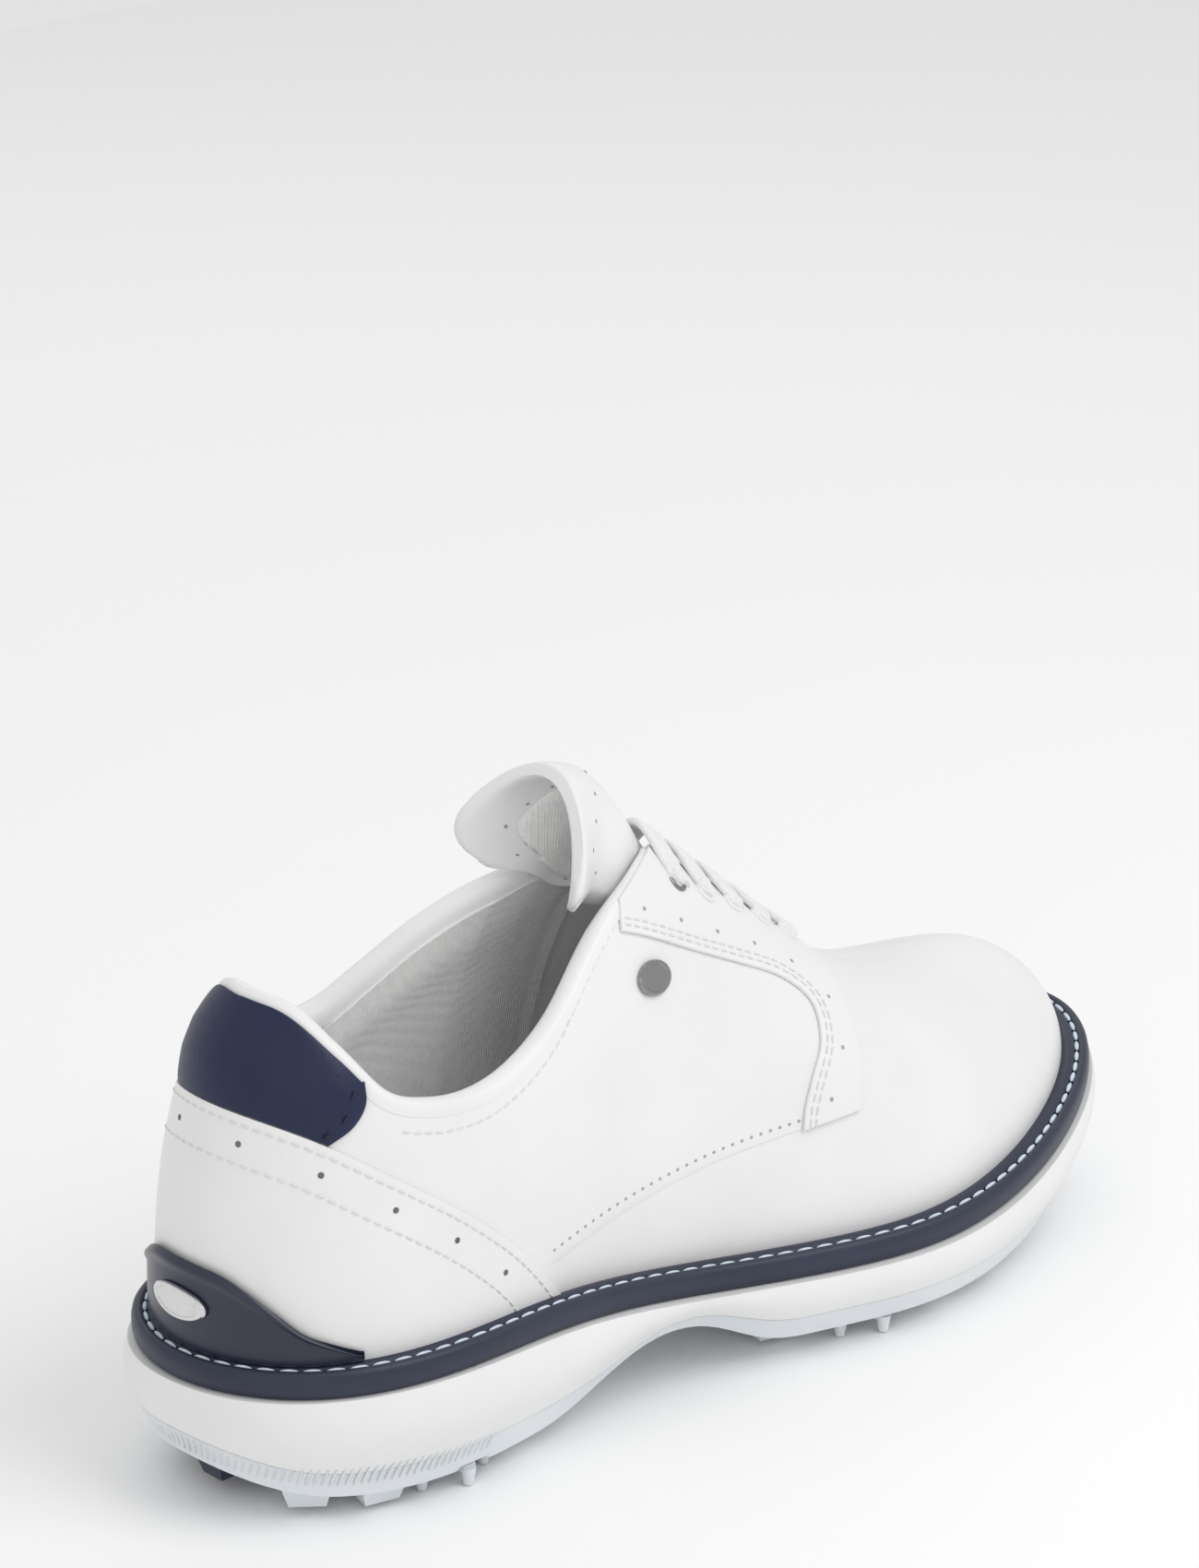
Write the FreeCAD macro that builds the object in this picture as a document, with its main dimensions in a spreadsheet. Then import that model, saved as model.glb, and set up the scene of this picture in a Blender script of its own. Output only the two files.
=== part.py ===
import FreeCAD, Part
import math
import os
from FreeCAD import Placement, Rotation, Vector

# A laced golf shoe for the right foot, in millimetres. While it is modelled, X runs from the back of the heel
# to the toe, Y towards the medial (inner) side and Z up from the ground. The placement of each piece then
# brings the middle of the footprint to the origin.

document = FreeCAD.newDocument("golf_shoe")

DRIVING_SIZES = {
    "shoe_length": 300.0,
    "shift_forward": -149.0,
    "shift_sideways": 3.0,
    "leather": 1.4,
    "overlay": 1.2,
    "layer_gap": 0.12,
    "welt_width": 6.3,
    "welt_height": 6.4,
    "lacing_gap": 9.0,
    "eyelet_hole": 2.3,
    "eyelet_rim": 3.6,
    "lace_radius": 1.0,
    "cleat_radius": 9.5,
    "cleat_plate": 2.2,
    "cleat_leg_reach": 12.6,
    "cleat_post_radius": 3.0,
    "cleat_post_length": 4.6,
    "cleat_clearance": 0.05,
    "cleat_count": 6.0,
    "receptacle_radius": 7.0,
    "receptacle_height": 5.4,
    "badge_side": 11.0,
    "badge_thickness": 1.1,
    "heel_badge_width": 17.0,
    "heel_badge_height": 8.0,
}


def make_sheet():
    table = document.addObject("Spreadsheet::Sheet", "sizes")
    for row, (alias, value) in enumerate(DRIVING_SIZES.items(), start=1):
        table.set("A%d" % row, str(value))
        table.setAlias("A%d" % row, alias)
    document.recompute()
    return table


sheet = make_sheet()


def size(alias):
    return float(sheet.get(alias))


LENGTH = size("shoe_length")
LEATHER = size("leather")
OVERLAY = size("overlay")
GAP = size("layer_gap")
WELT_WIDTH = size("welt_width")
WELT_HEIGHT = size("welt_height")
SHIFT = Vector(size("shift_forward"), size("shift_sideways"), 0)
BOTH, LATERAL, MEDIAL = "both", "lateral", "medial"

# ---- heights along the shoe: (share of the length, height) ----
WELT_TOP = [(0.0, 40.0), (0.25, 38.5), (0.5, 30.0), (0.75, 31.5), (1.0, 41.5)]
SOLE_BOTTOM = [
    (0.0, 15.0), (0.04, 9.0), (0.09, 6.2), (0.28, 6.0), (0.32, 9.5), (0.365, 13.5), (0.4, 16.2),
    (0.44, 15.0), (0.475, 10.0), (0.51, 6.4), (0.56, 6.0), (0.76, 6.0), (0.85, 9.0), (1.0, 21.0),
]
OUTSOLE_TOP = [
    (0.0, 21.0), (0.04, 15.5), (0.1, 13.0), (0.28, 13.0), (0.35, 14.5), (0.4, 19.5), (0.45, 18.0),
    (0.5, 13.2), (0.75, 12.6), (0.85, 15.0), (1.0, 26.0),
]
RIDGE = [(0.1, 136.0), (0.223, 143.0), (0.333, 140.0), (0.45, 133.0), (0.55, 111.0), (0.65, 87.0),
         (0.74, 72.0), (0.847, 67.5)]


def height_curve(stations):
    # a smooth height through the stations, as a cubic with a slope at each station
    xs = [share * LENGTH for share, _ in stations]
    zs = [z for _, z in stations]
    last = len(xs) - 1
    slopes = []
    for i in range(last + 1):
        a, b = max(i - 1, 0), min(i + 1, last)
        slopes.append((zs[b] - zs[a]) / (xs[b] - xs[a]))

    def height(x):
        if x <= xs[0]:
            return zs[0] + slopes[0] * (x - xs[0])
        if x >= xs[last]:
            return zs[last] + slopes[last] * (x - xs[last])
        i = max(k for k in range(last) if xs[k] <= x)
        step = xs[i + 1] - xs[i]
        f = (x - xs[i]) / step
        return (
            zs[i] * (1 + 2 * f) * (1 - f) ** 2
            + slopes[i] * step * f * (1 - f) ** 2
            + zs[i + 1] * f * f * (3 - 2 * f)
            - slopes[i + 1] * step * f * f * (1 - f)
        )

    return height


welt_top = height_curve(WELT_TOP)
sole_bottom = height_curve(SOLE_BOTTOM)
outsole_top = height_curve(OUTSOLE_TOP)
ridge_height = height_curve(RIDGE)


def midsole_top(x):
    return welt_top(x) - WELT_HEIGHT


# ---- the feather line, where the upper meets the sole, seen from above: (share of the length, Y) ----
FEATHER = [
    (0.0233, 1.0), (0.063, -25.0), (0.167, -36.5), (0.333, -33.5), (0.483, -38.5), (0.633, -50.5),
    (0.75, -47.0), (0.85, -35.0), (0.93, -18.0), (0.97, 4.0), (0.937, 27.0), (0.853, 41.0),
    (0.75, 43.5), (0.617, 39.0), (0.467, 31.0), (0.333, 29.0), (0.167, 32.0), (0.063, 25.0),
]


def feather_curve():
    points = [Vector(share * LENGTH, y, 0) for share, y in FEATHER]
    knots = [0.0]
    for a, b in zip(points, points[1:] + points[:1]):
        knots.append(knots[-1] + math.sqrt((b - a).Length))
    curve = Part.BSplineCurve()
    curve.interpolate(Points=points, PeriodicFlag=True, Parameters=[k / knots[-1] for k in knots])
    return curve


feather = feather_curve()


def outline_point(s, offset=0.0):
    # a point of the feather line moved outwards; s runs once round, 0 at the heel, lateral side first
    tangent = feather.tangent(s % 1.0)[0]
    outward = Vector(tangent.y, -tangent.x, 0)
    if outward.dot(feather.value(s % 1.0) - Vector(LENGTH / 2, 0, 0)) < 0:
        outward = -outward
    return feather.value(s % 1.0) + outward * offset, outward


def extreme(sign, low, high):
    # the parameter between low and high where X times sign is greatest
    for _ in range(60):
        a, b = low + (high - low) / 3, high - (high - low) / 3
        if sign * feather.value(a % 1.0).x < sign * feather.value(b % 1.0).x:
            low = a
        else:
            high = b
    return (low + high) / 2


HEEL_S = extreme(-1, -0.03, 0.03)
TOE_S = extreme(1, 0.45, 0.56)
HEEL_X = feather.value(HEEL_S % 1.0).x
TOE_X = feather.value(TOE_S).x


def parameter_at(side, x):
    # where the feather line has this X on one side
    if x <= HEEL_X:
        return HEEL_S
    if x >= TOE_X:
        return TOE_S
    low, high = HEEL_S, TOE_S
    if side == MEDIAL:
        low = HEEL_S + 1.0
    for _ in range(50):
        middle = (low + high) / 2
        if feather.value(middle % 1.0).x < x:
            low = middle
        else:
            high = middle
    return (low + high) / 2


# ---- the last: arches that rise from the feather line to a ridge over the foot ----
RIDGE_BACK = 0.223 * LENGTH
RIDGE_FRONT = 0.847 * LENGTH
RIDGE_Y_BACK = -2.0
RIDGE_Y_FRONT = 5.0
SQUARENESS_HEEL = 2.25
SQUARENESS_TOE = 1.77
STATIONS = 26
ARCH_LEVELS = [0.0, 0.06, 0.14, 0.24, 0.35, 0.47, 0.6, 0.73, 0.85, 0.96]
FOOT_LEVEL = 12.0


def last_point(s, rise):
    foot = feather.value(s % 1.0)
    along = (foot.x - HEEL_X) / (TOE_X - HEEL_X)
    top_x = RIDGE_BACK + (RIDGE_FRONT - RIDGE_BACK) * along
    top_y = RIDGE_Y_BACK + (RIDGE_Y_FRONT - RIDGE_Y_BACK) * along
    blend = min(max((foot.x - 0.2 * LENGTH) / (0.5 * LENGTH), 0.0), 1.0)
    blend = blend * blend * (3 - 2 * blend)
    power = 2 / (SQUARENESS_HEEL + (SQUARENESS_TOE - SQUARENESS_HEEL) * blend)
    inwards = 1 - max(math.cos(math.pi * rise / 2), 0.0) ** power
    upwards = math.sin(math.pi * rise / 2) ** power
    low = welt_top(foot.x)
    return Vector(
        foot.x + (top_x - foot.x) * inwards,
        foot.y + (top_y - foot.y) * inwards,
        low + (ridge_height(top_x) - low) * upwards,
    )


def last_normal(s, rise):
    step = 0.002
    low = min(max(rise, 0.004), 0.99)
    around = last_point(s + step, low) - last_point(s - step, low)
    up = last_point(s, low + step) - last_point(s, low - step)
    normal = around.cross(up)
    normal.normalize()
    inside = Vector(LENGTH / 2, 1.0, 45.0)
    if normal.dot(last_point(s, low) - inside) < 0:
        normal = -normal
    return normal


def surface_point(s, rise, offset):
    return last_point(s, rise) + last_normal(s, rise) * offset


def sewn_solid(faces):
    shell = Part.makeShell(faces)
    shell.sewShape()
    solid = Part.Solid(shell if shell.ShapeType == "Shell" else shell.Shells[0])
    if solid.Volume < 0:
        solid.reverse()
    return solid


def ring_of_columns(offset):
    # columns of points from the sole up to the ridge, once round the shoe from the heel
    shares = [(1 - math.cos(math.pi * i / STATIONS)) / 2 for i in range(STATIONS + 1)]
    places = [parameter_at(LATERAL, HEEL_X + (TOE_X - HEEL_X) * share) for share in shares]
    places += [parameter_at(MEDIAL, HEEL_X + (TOE_X - HEEL_X) * share) for share in shares[-2:0:-1]]
    grid = []
    for s in places + [places[0]]:
        foot = outline_point(s, offset)[0]
        column = [Vector(foot.x, foot.y, FOOT_LEVEL), Vector(foot.x, foot.y, (FOOT_LEVEL + welt_top(foot.x)) / 2)]
        column += [surface_point(s, rise, offset) for rise in ARCH_LEVELS]
        grid.append(column)
    return grid


dome_cache = {}


def dome(offset):
    # the closed solid inside the last's surface moved outwards by offset
    key = round(offset, 3)
    if key not in dome_cache:
        grid = ring_of_columns(offset)
        surface = Part.BSplineSurface()
        surface.interpolate(grid)
        first_u, last_u, first_v, last_v = surface.bounds()
        toe_u = surface.parameter(grid[STATIONS][4])[0]
        halves = []
        for low_u, high_u in ((first_u, toe_u), (toe_u, last_u)):
            half = surface.copy()
            half.segment(low_u, high_u, first_v, last_v)
            halves.append(half)
        tops = [half.vIso(last_v).toShape() for half in halves]
        feet = [half.vIso(first_v).toShape() for half in halves]
        faces = [half.toShape() for half in halves]
        faces.append(Part.makeRuledSurface(tops[0], tops[1]))
        faces.append(Part.makeRuledSurface(feet[0], feet[1]))
        dome_cache[key] = sewn_solid(faces)
    return dome_cache[key]


# ---- cutting shapes drawn in the side view or from above ----
def line_through(points):
    if len(points) == 2:
        return Part.LineSegment(points[0], points[1]).toShape()
    if len(points) < 5:
        return Part.makePolygon(points)
    curve = Part.BSplineCurve()
    curve.interpolate(points)
    return curve.toShape()


def side_prism(runs, low_y=-90.0, high_y=90.0):
    # a closed outline of runs of (X, Z) points, each run a line or a smooth curve, swept across the shoe
    edges = []
    for run, following in zip(runs, runs[1:] + runs[:1]):
        points = [Vector(x, low_y, z) for x, z in run]
        edges += line_through(points).Edges
        end, start = run[-1], following[0]
        if math.hypot(end[0] - start[0], end[1] - start[1]) > 1e-6:
            edges.append(line_through([points[-1], Vector(start[0], low_y, start[1])]))
    return Part.Face(Part.Wire(edges)).extrude(Vector(0, high_y - low_y, 0))


def side_of(side):
    middle = 3.0
    return {BOTH: (-90.0, 90.0), LATERAL: (-90.0, middle), MEDIAL: (middle, 90.0)}[side]


def profile_run(height, low_share=-0.05, high_share=1.05, steps=22, lift=0.0):
    xs = [LENGTH * (low_share + (high_share - low_share) * i / steps) for i in range(steps + 1)]
    return [(x, height(x) + lift) for x in xs]


def above(height, lift=0.0, top=190.0):
    run = profile_run(height, lift=lift)
    return side_prism([run, [(run[-1][0], top), (run[0][0], top)]])


def below(height, lift=0.0, bottom=-30.0):
    run = profile_run(height, lift=lift)
    return side_prism([run, [(run[-1][0], bottom), (run[0][0], bottom)]])


def layer(outer, inner, *regions):
    # the sheet between two offsets of the last, kept inside every region
    solid = dome(outer)
    for region in regions:
        solid = solid.common(region)
    return solid.cut(dome(inner))


def largest_solids(shape, smallest=20.0):
    kept = [solid for solid in shape.Solids if solid.Volume > smallest]
    return kept[0] if len(kept) == 1 else Part.makeCompound(kept)


def add_shape(label, shape):
    piece = document.addObject("Part::Feature", label)
    piece.Label = label
    piece.Shape = largest_solids(shape)
    piece.Placement = Placement(SHIFT, Rotation())
    return piece


# ---- seam lines of the upper in the side view, (X, Z) at the design length ----
def scaled(points):
    return [(x * LENGTH / 300.0, z) for x, z in points]


TOPLINE_LATERAL = scaled([(14, 121.5), (28, 121), (34, 112), (42, 100.5), (53, 96), (67, 94.5), (80, 96.5),
                          (94, 102.5), (110, 114), (120, 119.5), (131, 123), (140, 124.5), (150, 124)])
TOPLINE_MEDIAL = scaled([(14, 121.5), (28, 121), (34, 114), (42, 105), (54, 99), (66, 99), (80, 106),
                         (92, 113), (105, 118.5), (118, 121.5), (131, 123.5), (140, 124.8), (150, 124)])
FOXING_TOP = scaled([(4, 101), (16, 97), (26, 91.8), (39, 82.5), (59, 67.5), (76, 52), (89, 36)])
QUARTER_SEAM = scaled([(84, 45), (109, 50.5), (138, 55.5), (161, 57.8), (179, 58.5)])
QUARTER_FRONT = scaled([(179, 58.5), (185, 72), (192, 88), (197, 104)])
FACING_LOW = scaled([(121, 114.5), (140, 105.5), (158, 96.5), (172, 89), (176.5, 82.5), (173, 76), (167, 69),
                     (163.5, 63), (162, 58)])
HIGH = 185.0


def topline(side):
    return TOPLINE_MEDIAL if side == MEDIAL else TOPLINE_LATERAL


def topline_region(side, drop=0.0, base=5.0):
    # everything under the topline, from the back to the throat
    run = [(x, z - drop) for x, z in topline(side)]
    outline = [[(-20.0, base), (-20.0, run[0][1])], run, [(run[-1][0], base), (-20.0, base)]]
    return side_prism(outline, *side_of(side))


def quarter_region(side, drop=0.0):
    # under the topline and behind the front edge, down to the vamp seam and the sole
    run = [(x, z - drop) for x, z in topline(side)]
    outline = [
        [(-20.0, 5.0), (-20.0, run[0][1])],
        run,
        [run[-1], (run[-1][0] + 2.0, HIGH), (QUARTER_FRONT[-1][0], HIGH), QUARTER_FRONT[-1]],
        QUARTER_FRONT[::-1],
        QUARTER_SEAM[::-1],
        [QUARTER_SEAM[0], (QUARTER_SEAM[0][0], 5.0)],
    ]
    return side_prism(outline, *side_of(side))


def vamp_region(clearance=0.15):
    seam = [(x + clearance, z - clearance) for x, z in QUARTER_SEAM]
    front = [(x + clearance, z - clearance) for x, z in QUARTER_FRONT]
    outline = [
        [(seam[0][0], 10.0), seam[0]],
        seam,
        front,
        [front[-1], (front[-1][0], HIGH)],
        [(LENGTH + 40.0, HIGH), (LENGTH + 40.0, 10.0)],
    ]
    return side_prism(outline)


def lacing_slot():
    # the gap between the facings, which opens out like a V at the throat
    half = size("lacing_gap") / 2
    outline = [(118.0, 15.5), (127.0, 14.0), (140.0, 10.5), (151.0, half), (205.0, half)]
    outline = [(x * LENGTH / 300.0, y) for x, y in outline]
    points = [Vector(x, 0.5 + y, 60.0) for x, y in outline] + [Vector(x, 0.5 - y, 60.0) for x, y in outline[::-1]]
    return Part.Face(Part.makePolygon(points + points[:1])).extrude(Vector(0, 0, 130.0))


def facing_region(side):
    # the J-shaped reinforcement: under the throat, along the lacing edge, then down the front of the quarter
    run = [(x, z) for x, z in topline(side) if x > 117.0 * LENGTH / 300.0]
    outline = [
        run,
        [run[-1], (run[-1][0] + 2.0, HIGH), (QUARTER_FRONT[-1][0], HIGH), QUARTER_FRONT[-1]],
        QUARTER_FRONT[::-1],
        [QUARTER_FRONT[0], FACING_LOW[-1]],
        FACING_LOW[::-1],
        [FACING_LOW[0], run[0]],
    ]
    return side_prism(outline, *side_of(side))


def band(low, high, low_lift=0.0, high_lift=0.0):
    # the slab between two height curves along the shoe
    under = profile_run(low, lift=low_lift)
    over = profile_run(high, lift=high_lift)
    return side_prism([under, over[::-1]])


def point_over(side, x, y, offset):
    # the point of the last at a given X and Y on one side, moved outwards, and its normal
    low_rise, high_rise = 0.05, 0.999
    for _ in range(28):
        rise = (low_rise + high_rise) / 2
        back, front = HEEL_X + 0.5, TOE_X - 0.5
        for _ in range(28):
            foot_x = (back + front) / 2
            s = parameter_at(side, foot_x)
            if surface_point(s, rise, offset).x < x:
                back = foot_x
            else:
                front = foot_x
        here = surface_point(s, rise, offset)
        if abs(here.y - 1.0) > abs(y - 1.0):
            low_rise = rise
        else:
            high_rise = rise
    return here, last_normal(s, rise)


# ---- leather panels of the upper ----
sole_line = above(welt_top, lift=-6.2)
over_welt = above(welt_top, lift=0.15)
slot = lacing_slot()


def upper_sheet(label, outer, inner, *regions, cut=None):
    shape = layer(outer, inner, *regions)
    for tool in cut or []:
        shape = shape.cut(tool)
    return add_shape(label, shape)


COLLAR_DROP = 3.0
FRONT_OVER = OVERLAY + GAP

EYELET_XS = [147.5, 157.5, 167.5, 177.5, 187.5]
EYELET_YS = {LATERAL: [-10.5, -9.8, -9.0, -8.3, -7.6], MEDIAL: [11.0, 10.8, 10.6, 10.4, 10.2]}


def eyelet_places(side, offset):
    return [point_over(side, x * LENGTH / 300.0, y, offset) for x, y in zip(EYELET_XS, EYELET_YS[side])]


def eyelet_drills(side, radius):
    tools = []
    for point, normal in eyelet_places(side, 0.0):
        tools.append(Part.makeCylinder(radius, 12.0, point - normal * 6, normal))
    return tools


eyelet_hole = size("eyelet_hole")
drills = {side: eyelet_drills(side, eyelet_hole + 0.55) for side in (LATERAL, MEDIAL)}
add_shape("vamp", layer(0.0, -LEATHER, sole_line, vamp_region()))
for side in (LATERAL, MEDIAL):
    upper_sheet(side + "_quarter", 0.0, -LEATHER, sole_line, quarter_region(side, COLLAR_DROP),
                cut=[slot] + drills[side])
    upper_sheet(side + "_facing", FRONT_OVER, GAP, facing_region(side), cut=[slot] + drills[side])
print("panels done")

# ---- heel: foxing, navy tab, clip, stiffener and padded collar ----
def foxing_region():
    outline = [
        [(-20.0, 5.0), (-20.0, FOXING_TOP[0][1])],
        FOXING_TOP,
        [(FOXING_TOP[-1][0], 5.0), (-20.0, 5.0)],
    ]
    return side_prism(outline)


def tab_region():
    # between the foxing and the topline, as far forward as the tab's end
    low = [(x, z + 0.25) for x, z in FOXING_TOP[:3]]
    outline = [
        [(-20.0, HIGH), (-20.0, low[0][1])],
        low,
        [(27.5 * LENGTH / 300.0, 91.6), (34.8 * LENGTH / 300.0, 97.0)],
        [(38.0 * LENGTH / 300.0, 104.0), (38.0 * LENGTH / 300.0, HIGH)],
    ]
    return side_prism(outline)


under_rim = {side: topline_region(side, COLLAR_DROP) for side in (LATERAL, MEDIAL)}


def both_sides(outer, inner, regions, *others):
    # one sheet round the heel, cut by a region that differs from side to side
    region = regions[LATERAL].fuse(regions[MEDIAL])
    for other in others:
        region = region.common(other)
    return layer(outer, inner, region)


add_shape("heel_foxing", layer(FRONT_OVER, GAP, foxing_region(), over_welt))
add_shape("collar_tab", both_sides(FRONT_OVER, GAP, under_rim, tab_region()))

CLIP_OUTER = FRONT_OVER + 1.9
CLIP_LINE = scaled([(-12, 63), (4, 62.5), (9, 61), (12, 57.5), (15, 53.5), (19, 48.5), (24, 45), (30, 43)])
clip_outline = [[(-20.0, 5.0), (-20.0, CLIP_LINE[0][1])], CLIP_LINE, [(CLIP_LINE[-1][0], 5.0), (-20.0, 5.0)]]
clip = layer(CLIP_OUTER, FRONT_OVER + GAP, side_prism(clip_outline), over_welt)

COUNTER_LINE = scaled([(-12, 92), (30, 90), (60, 72), (88, 48), (92, 40)])
counter_outline = [[(-20.0, 5.0), (-20.0, 92.0)], COUNTER_LINE, [(COUNTER_LINE[-1][0], 5.0), (-20.0, 5.0)]]
add_shape("heel_counter", layer(-LEATHER - GAP, -LEATHER - GAP - 1.1, side_prism(counter_outline), sole_line))

FOAM_OUTER = -LEATHER - GAP - 1.1 - GAP
FOAM_INNER = -5.6
LINING_INNER = -6.4
inside_waist = above(welt_top, lift=-6.2)
PADDING_END = 117.0 * LENGTH / 300.0
padded_part = Part.makeBox(PADDING_END + 30, 200, 200, Vector(-30, -100, 0))
unpadded_part = Part.makeBox(80, 200, 200, Vector(PADDING_END, -100, 0))
add_shape("collar_foam", both_sides(FOAM_OUTER, FOAM_INNER, under_rim, inside_waist, padded_part))
add_shape("quarter_lining", both_sides(FOAM_INNER - GAP, LINING_INNER, under_rim, inside_waist, padded_part))


def rim_region(side):
    # the rolled edge just under the topline
    run = topline(side)
    low = [(x, z - COLLAR_DROP + 0.15) for x, z in run]
    outline = [[(-20.0, low[0][1]), (-20.0, run[0][1])], run, low[::-1]]
    return side_prism(outline, *side_of(side))


rim_sides = {side: rim_region(side) for side in (LATERAL, MEDIAL)}
thick_rim = both_sides(0.3, LINING_INNER - 0.3, rim_sides, padded_part)
thin_rim = both_sides(0.0, -LEATHER - 0.1, rim_sides, unpadded_part)
tongue_room = Part.makeBox(6.0, 26.0, 60.0, Vector(PADDING_END - 5.5, -12.5, 90.0))
add_shape("collar_rim", thick_rim.fuse(thin_rim).cut(slot).cut(tongue_room))
print("heel done")

# ---- toe stiffener and front lining ----
toe_front = side_prism([[(258.0, HIGH), (258.0, 5.0)], [(LENGTH + 40, 5.0), (LENGTH + 40, HIGH)]])
add_shape("toe_puff", layer(-LEATHER - GAP, -LEATHER - GAP - 0.9, toe_front, sole_line))
front_lining = [
    [(152.5, HIGH), (152.5, 5.0)],
    [(LENGTH + 40, 5.0), (LENGTH + 40, HIGH)],
]
VAMP_LINING_OUTER = -LEATHER - 0.9 - 2 * GAP
VAMP_LINING_INNER = VAMP_LINING_OUTER - 0.8
front_slot = Part.makeBox(56.0, 36.0, 130.0, Vector(150.0, -17.5, 60.0))
upper_sheet("vamp_lining", VAMP_LINING_OUTER, VAMP_LINING_INNER, side_prism(front_lining), sole_line,
            cut=[front_slot])

# ---- tongue ----
TONGUE_SIDE = VAMP_LINING_INNER - 1.9
TONGUE_SWELL = 3.4
TONGUE_STEPS = [226.0, 212.0, 200.0, 188.0, 177.0, 167.0, 158.0, 150.0]
TONGUE_HEAD = [
    ((139.5, 135.0), (129.0, 129.0, 10.4, 117.5, 118.0)),
    ((133.5, 142.5), (121.0, 121.0, 11.2, 120.5, 123.5)),
    ((126.5, 148.5), (113.5, 112.5, 16.4, 120.5, 125.5)),
    ((119.0, 151.0), (106.0, 100.0, 23.6, 119.5, 128.0)),
]


def tongue_row(ridge_x):
    # a row of the tongue under the facings, following the last from side to side
    along = (ridge_x * LENGTH / 300.0 - RIDGE_BACK) / (RIDGE_FRONT - RIDGE_BACK)
    foot_x = HEEL_X + (TOE_X - HEEL_X) * along
    row = []
    left, right = parameter_at(LATERAL, foot_x), parameter_at(MEDIAL, foot_x)
    swell = min(max((182.0 - ridge_x) / 14.0, 0.0), 1.0)
    edge = 0.68 + 0.12 * min(max((188.0 - ridge_x) / 38.0, 0.0), 1.0)
    rises = [edge + (0.92 - edge) * i / 3 for i in range(4)]
    lifts = [TONGUE_SIDE + TONGUE_SWELL * swell * share for share in (0.0, 0.0, 0.2, 0.65)]
    for rise, lift in zip(rises, lifts):
        row.append(surface_point(left, rise, lift))
    crown = (surface_point(left, 0.985, 0.0) + surface_point(right, 0.985, 0.0)) * 0.5
    row.append(crown + Vector(0, 0, (TONGUE_SIDE + TONGUE_SWELL * swell) * 1.2))
    for rise, lift in zip(rises[::-1], lifts[::-1]):
        row.append(surface_point(right, rise, lift))
    return row


def head_row(centre, wing):
    # a rounded row above the facings that bends back round the ankle; wing is lateral X,
    # medial X, half width, lateral height and medial height
    row = []
    full = 1.28
    for i in range(9):
        turn = (i - 4) / 4 * full
        bend = (1 - math.cos(turn)) / (1 - math.cos(full))
        back, low = (wing[0], wing[3]) if i < 4 else (wing[1], wing[4])
        row.append(Vector(centre[0] + (back - centre[0]) * bend,
                          0.9 + wing[2] * math.sin(turn) / math.sin(full),
                          centre[1] + (low - centre[1]) * bend))
    return row


tongue_outer = [tongue_row(x) for x in TONGUE_STEPS] + [head_row(centre, wing) for centre, wing in TONGUE_HEAD]
THICKNESS = [1.4, 1.8, 2.2, 2.4, 2.6, 2.8, 3.0, 3.4, 3.8, 4.2, 4.4, 4.2]


def lining_row(row, thick):
    # the same row moved inwards: narrower, lower and further back
    middle_y = (row[0].y + row[-1].y) / 2
    half = (row[-1].y - row[0].y) / 2
    narrow = (half - 0.8 * thick) / half
    return [Vector(point.x - 0.55 * thick, middle_y + (point.y - middle_y) * narrow, point.z - 0.8 * thick)
            for point in row]


def ruled(points, other_points):
    return Part.makeRuledSurface(line_through(points), line_through(other_points))


def strip_solid(rows):
    # a solid of ruled faces over rows, each an outer and an inner line of points
    faces = []
    for (outer, inner), (next_outer, next_inner) in zip(rows, rows[1:]):
        faces += [ruled(outer, next_outer), ruled(inner, next_inner)]
        for end in (0, -1):
            faces.append(ruled([outer[end], next_outer[end]], [inner[end], next_inner[end]]))
    for outer, inner in (rows[0], rows[-1]):
        faces.append(ruled(outer, inner))
    return sewn_solid(faces)


def between(row, other, share):
    return [a + (b - a) * share for a, b in zip(row, other)]


tongue_inner = [lining_row(row, thick) for row, thick in zip(tongue_outer, THICKNESS)]
tongue_rows = list(zip(tongue_outer, tongue_inner))
last_base, first_top = tongue_rows[7], tongue_rows[8]
CREASE_LOW, CREASE_HIGH = 0.8, 0.835
low_row = tuple(between(a, b, CREASE_LOW) for a, b in zip(last_base, first_top))
high_row = tuple(between(a, b, CREASE_HIGH) for a, b in zip(last_base, first_top))
add_shape("tongue_base", strip_solid(tongue_rows[:8] + [low_row]))
add_shape("tongue_top", strip_solid([high_row] + tongue_rows[8:]))
hinge_point = (low_row[0][4] + high_row[0][4]) * 0.5
print("tongue hinge", hinge_point + SHIFT)
print("tongue done")

# ---- welt, soles and the boards inside ----


def sole_columns(levels):
    # columns of points down the side of the sole: each level is (share of the way down, offset)
    shares = [(1 - math.cos(math.pi * i / STATIONS)) / 2 for i in range(STATIONS + 1)]
    places = [parameter_at(LATERAL, HEEL_X + (TOE_X - HEEL_X) * share) for share in shares]
    places += [parameter_at(MEDIAL, HEEL_X + (TOE_X - HEEL_X) * share) for share in shares[-2:0:-1]]
    grid = []
    for s in places + [places[0]]:
        foot = feather.value(s % 1.0)
        high, low = welt_top(foot.x), sole_bottom(foot.x)
        column = []
        for down, offset in levels:
            point = outline_point(s, offset)[0]
            column.append(Vector(point.x, point.y, high + (low - high) * down))
        grid.append(column)
    return grid


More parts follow.
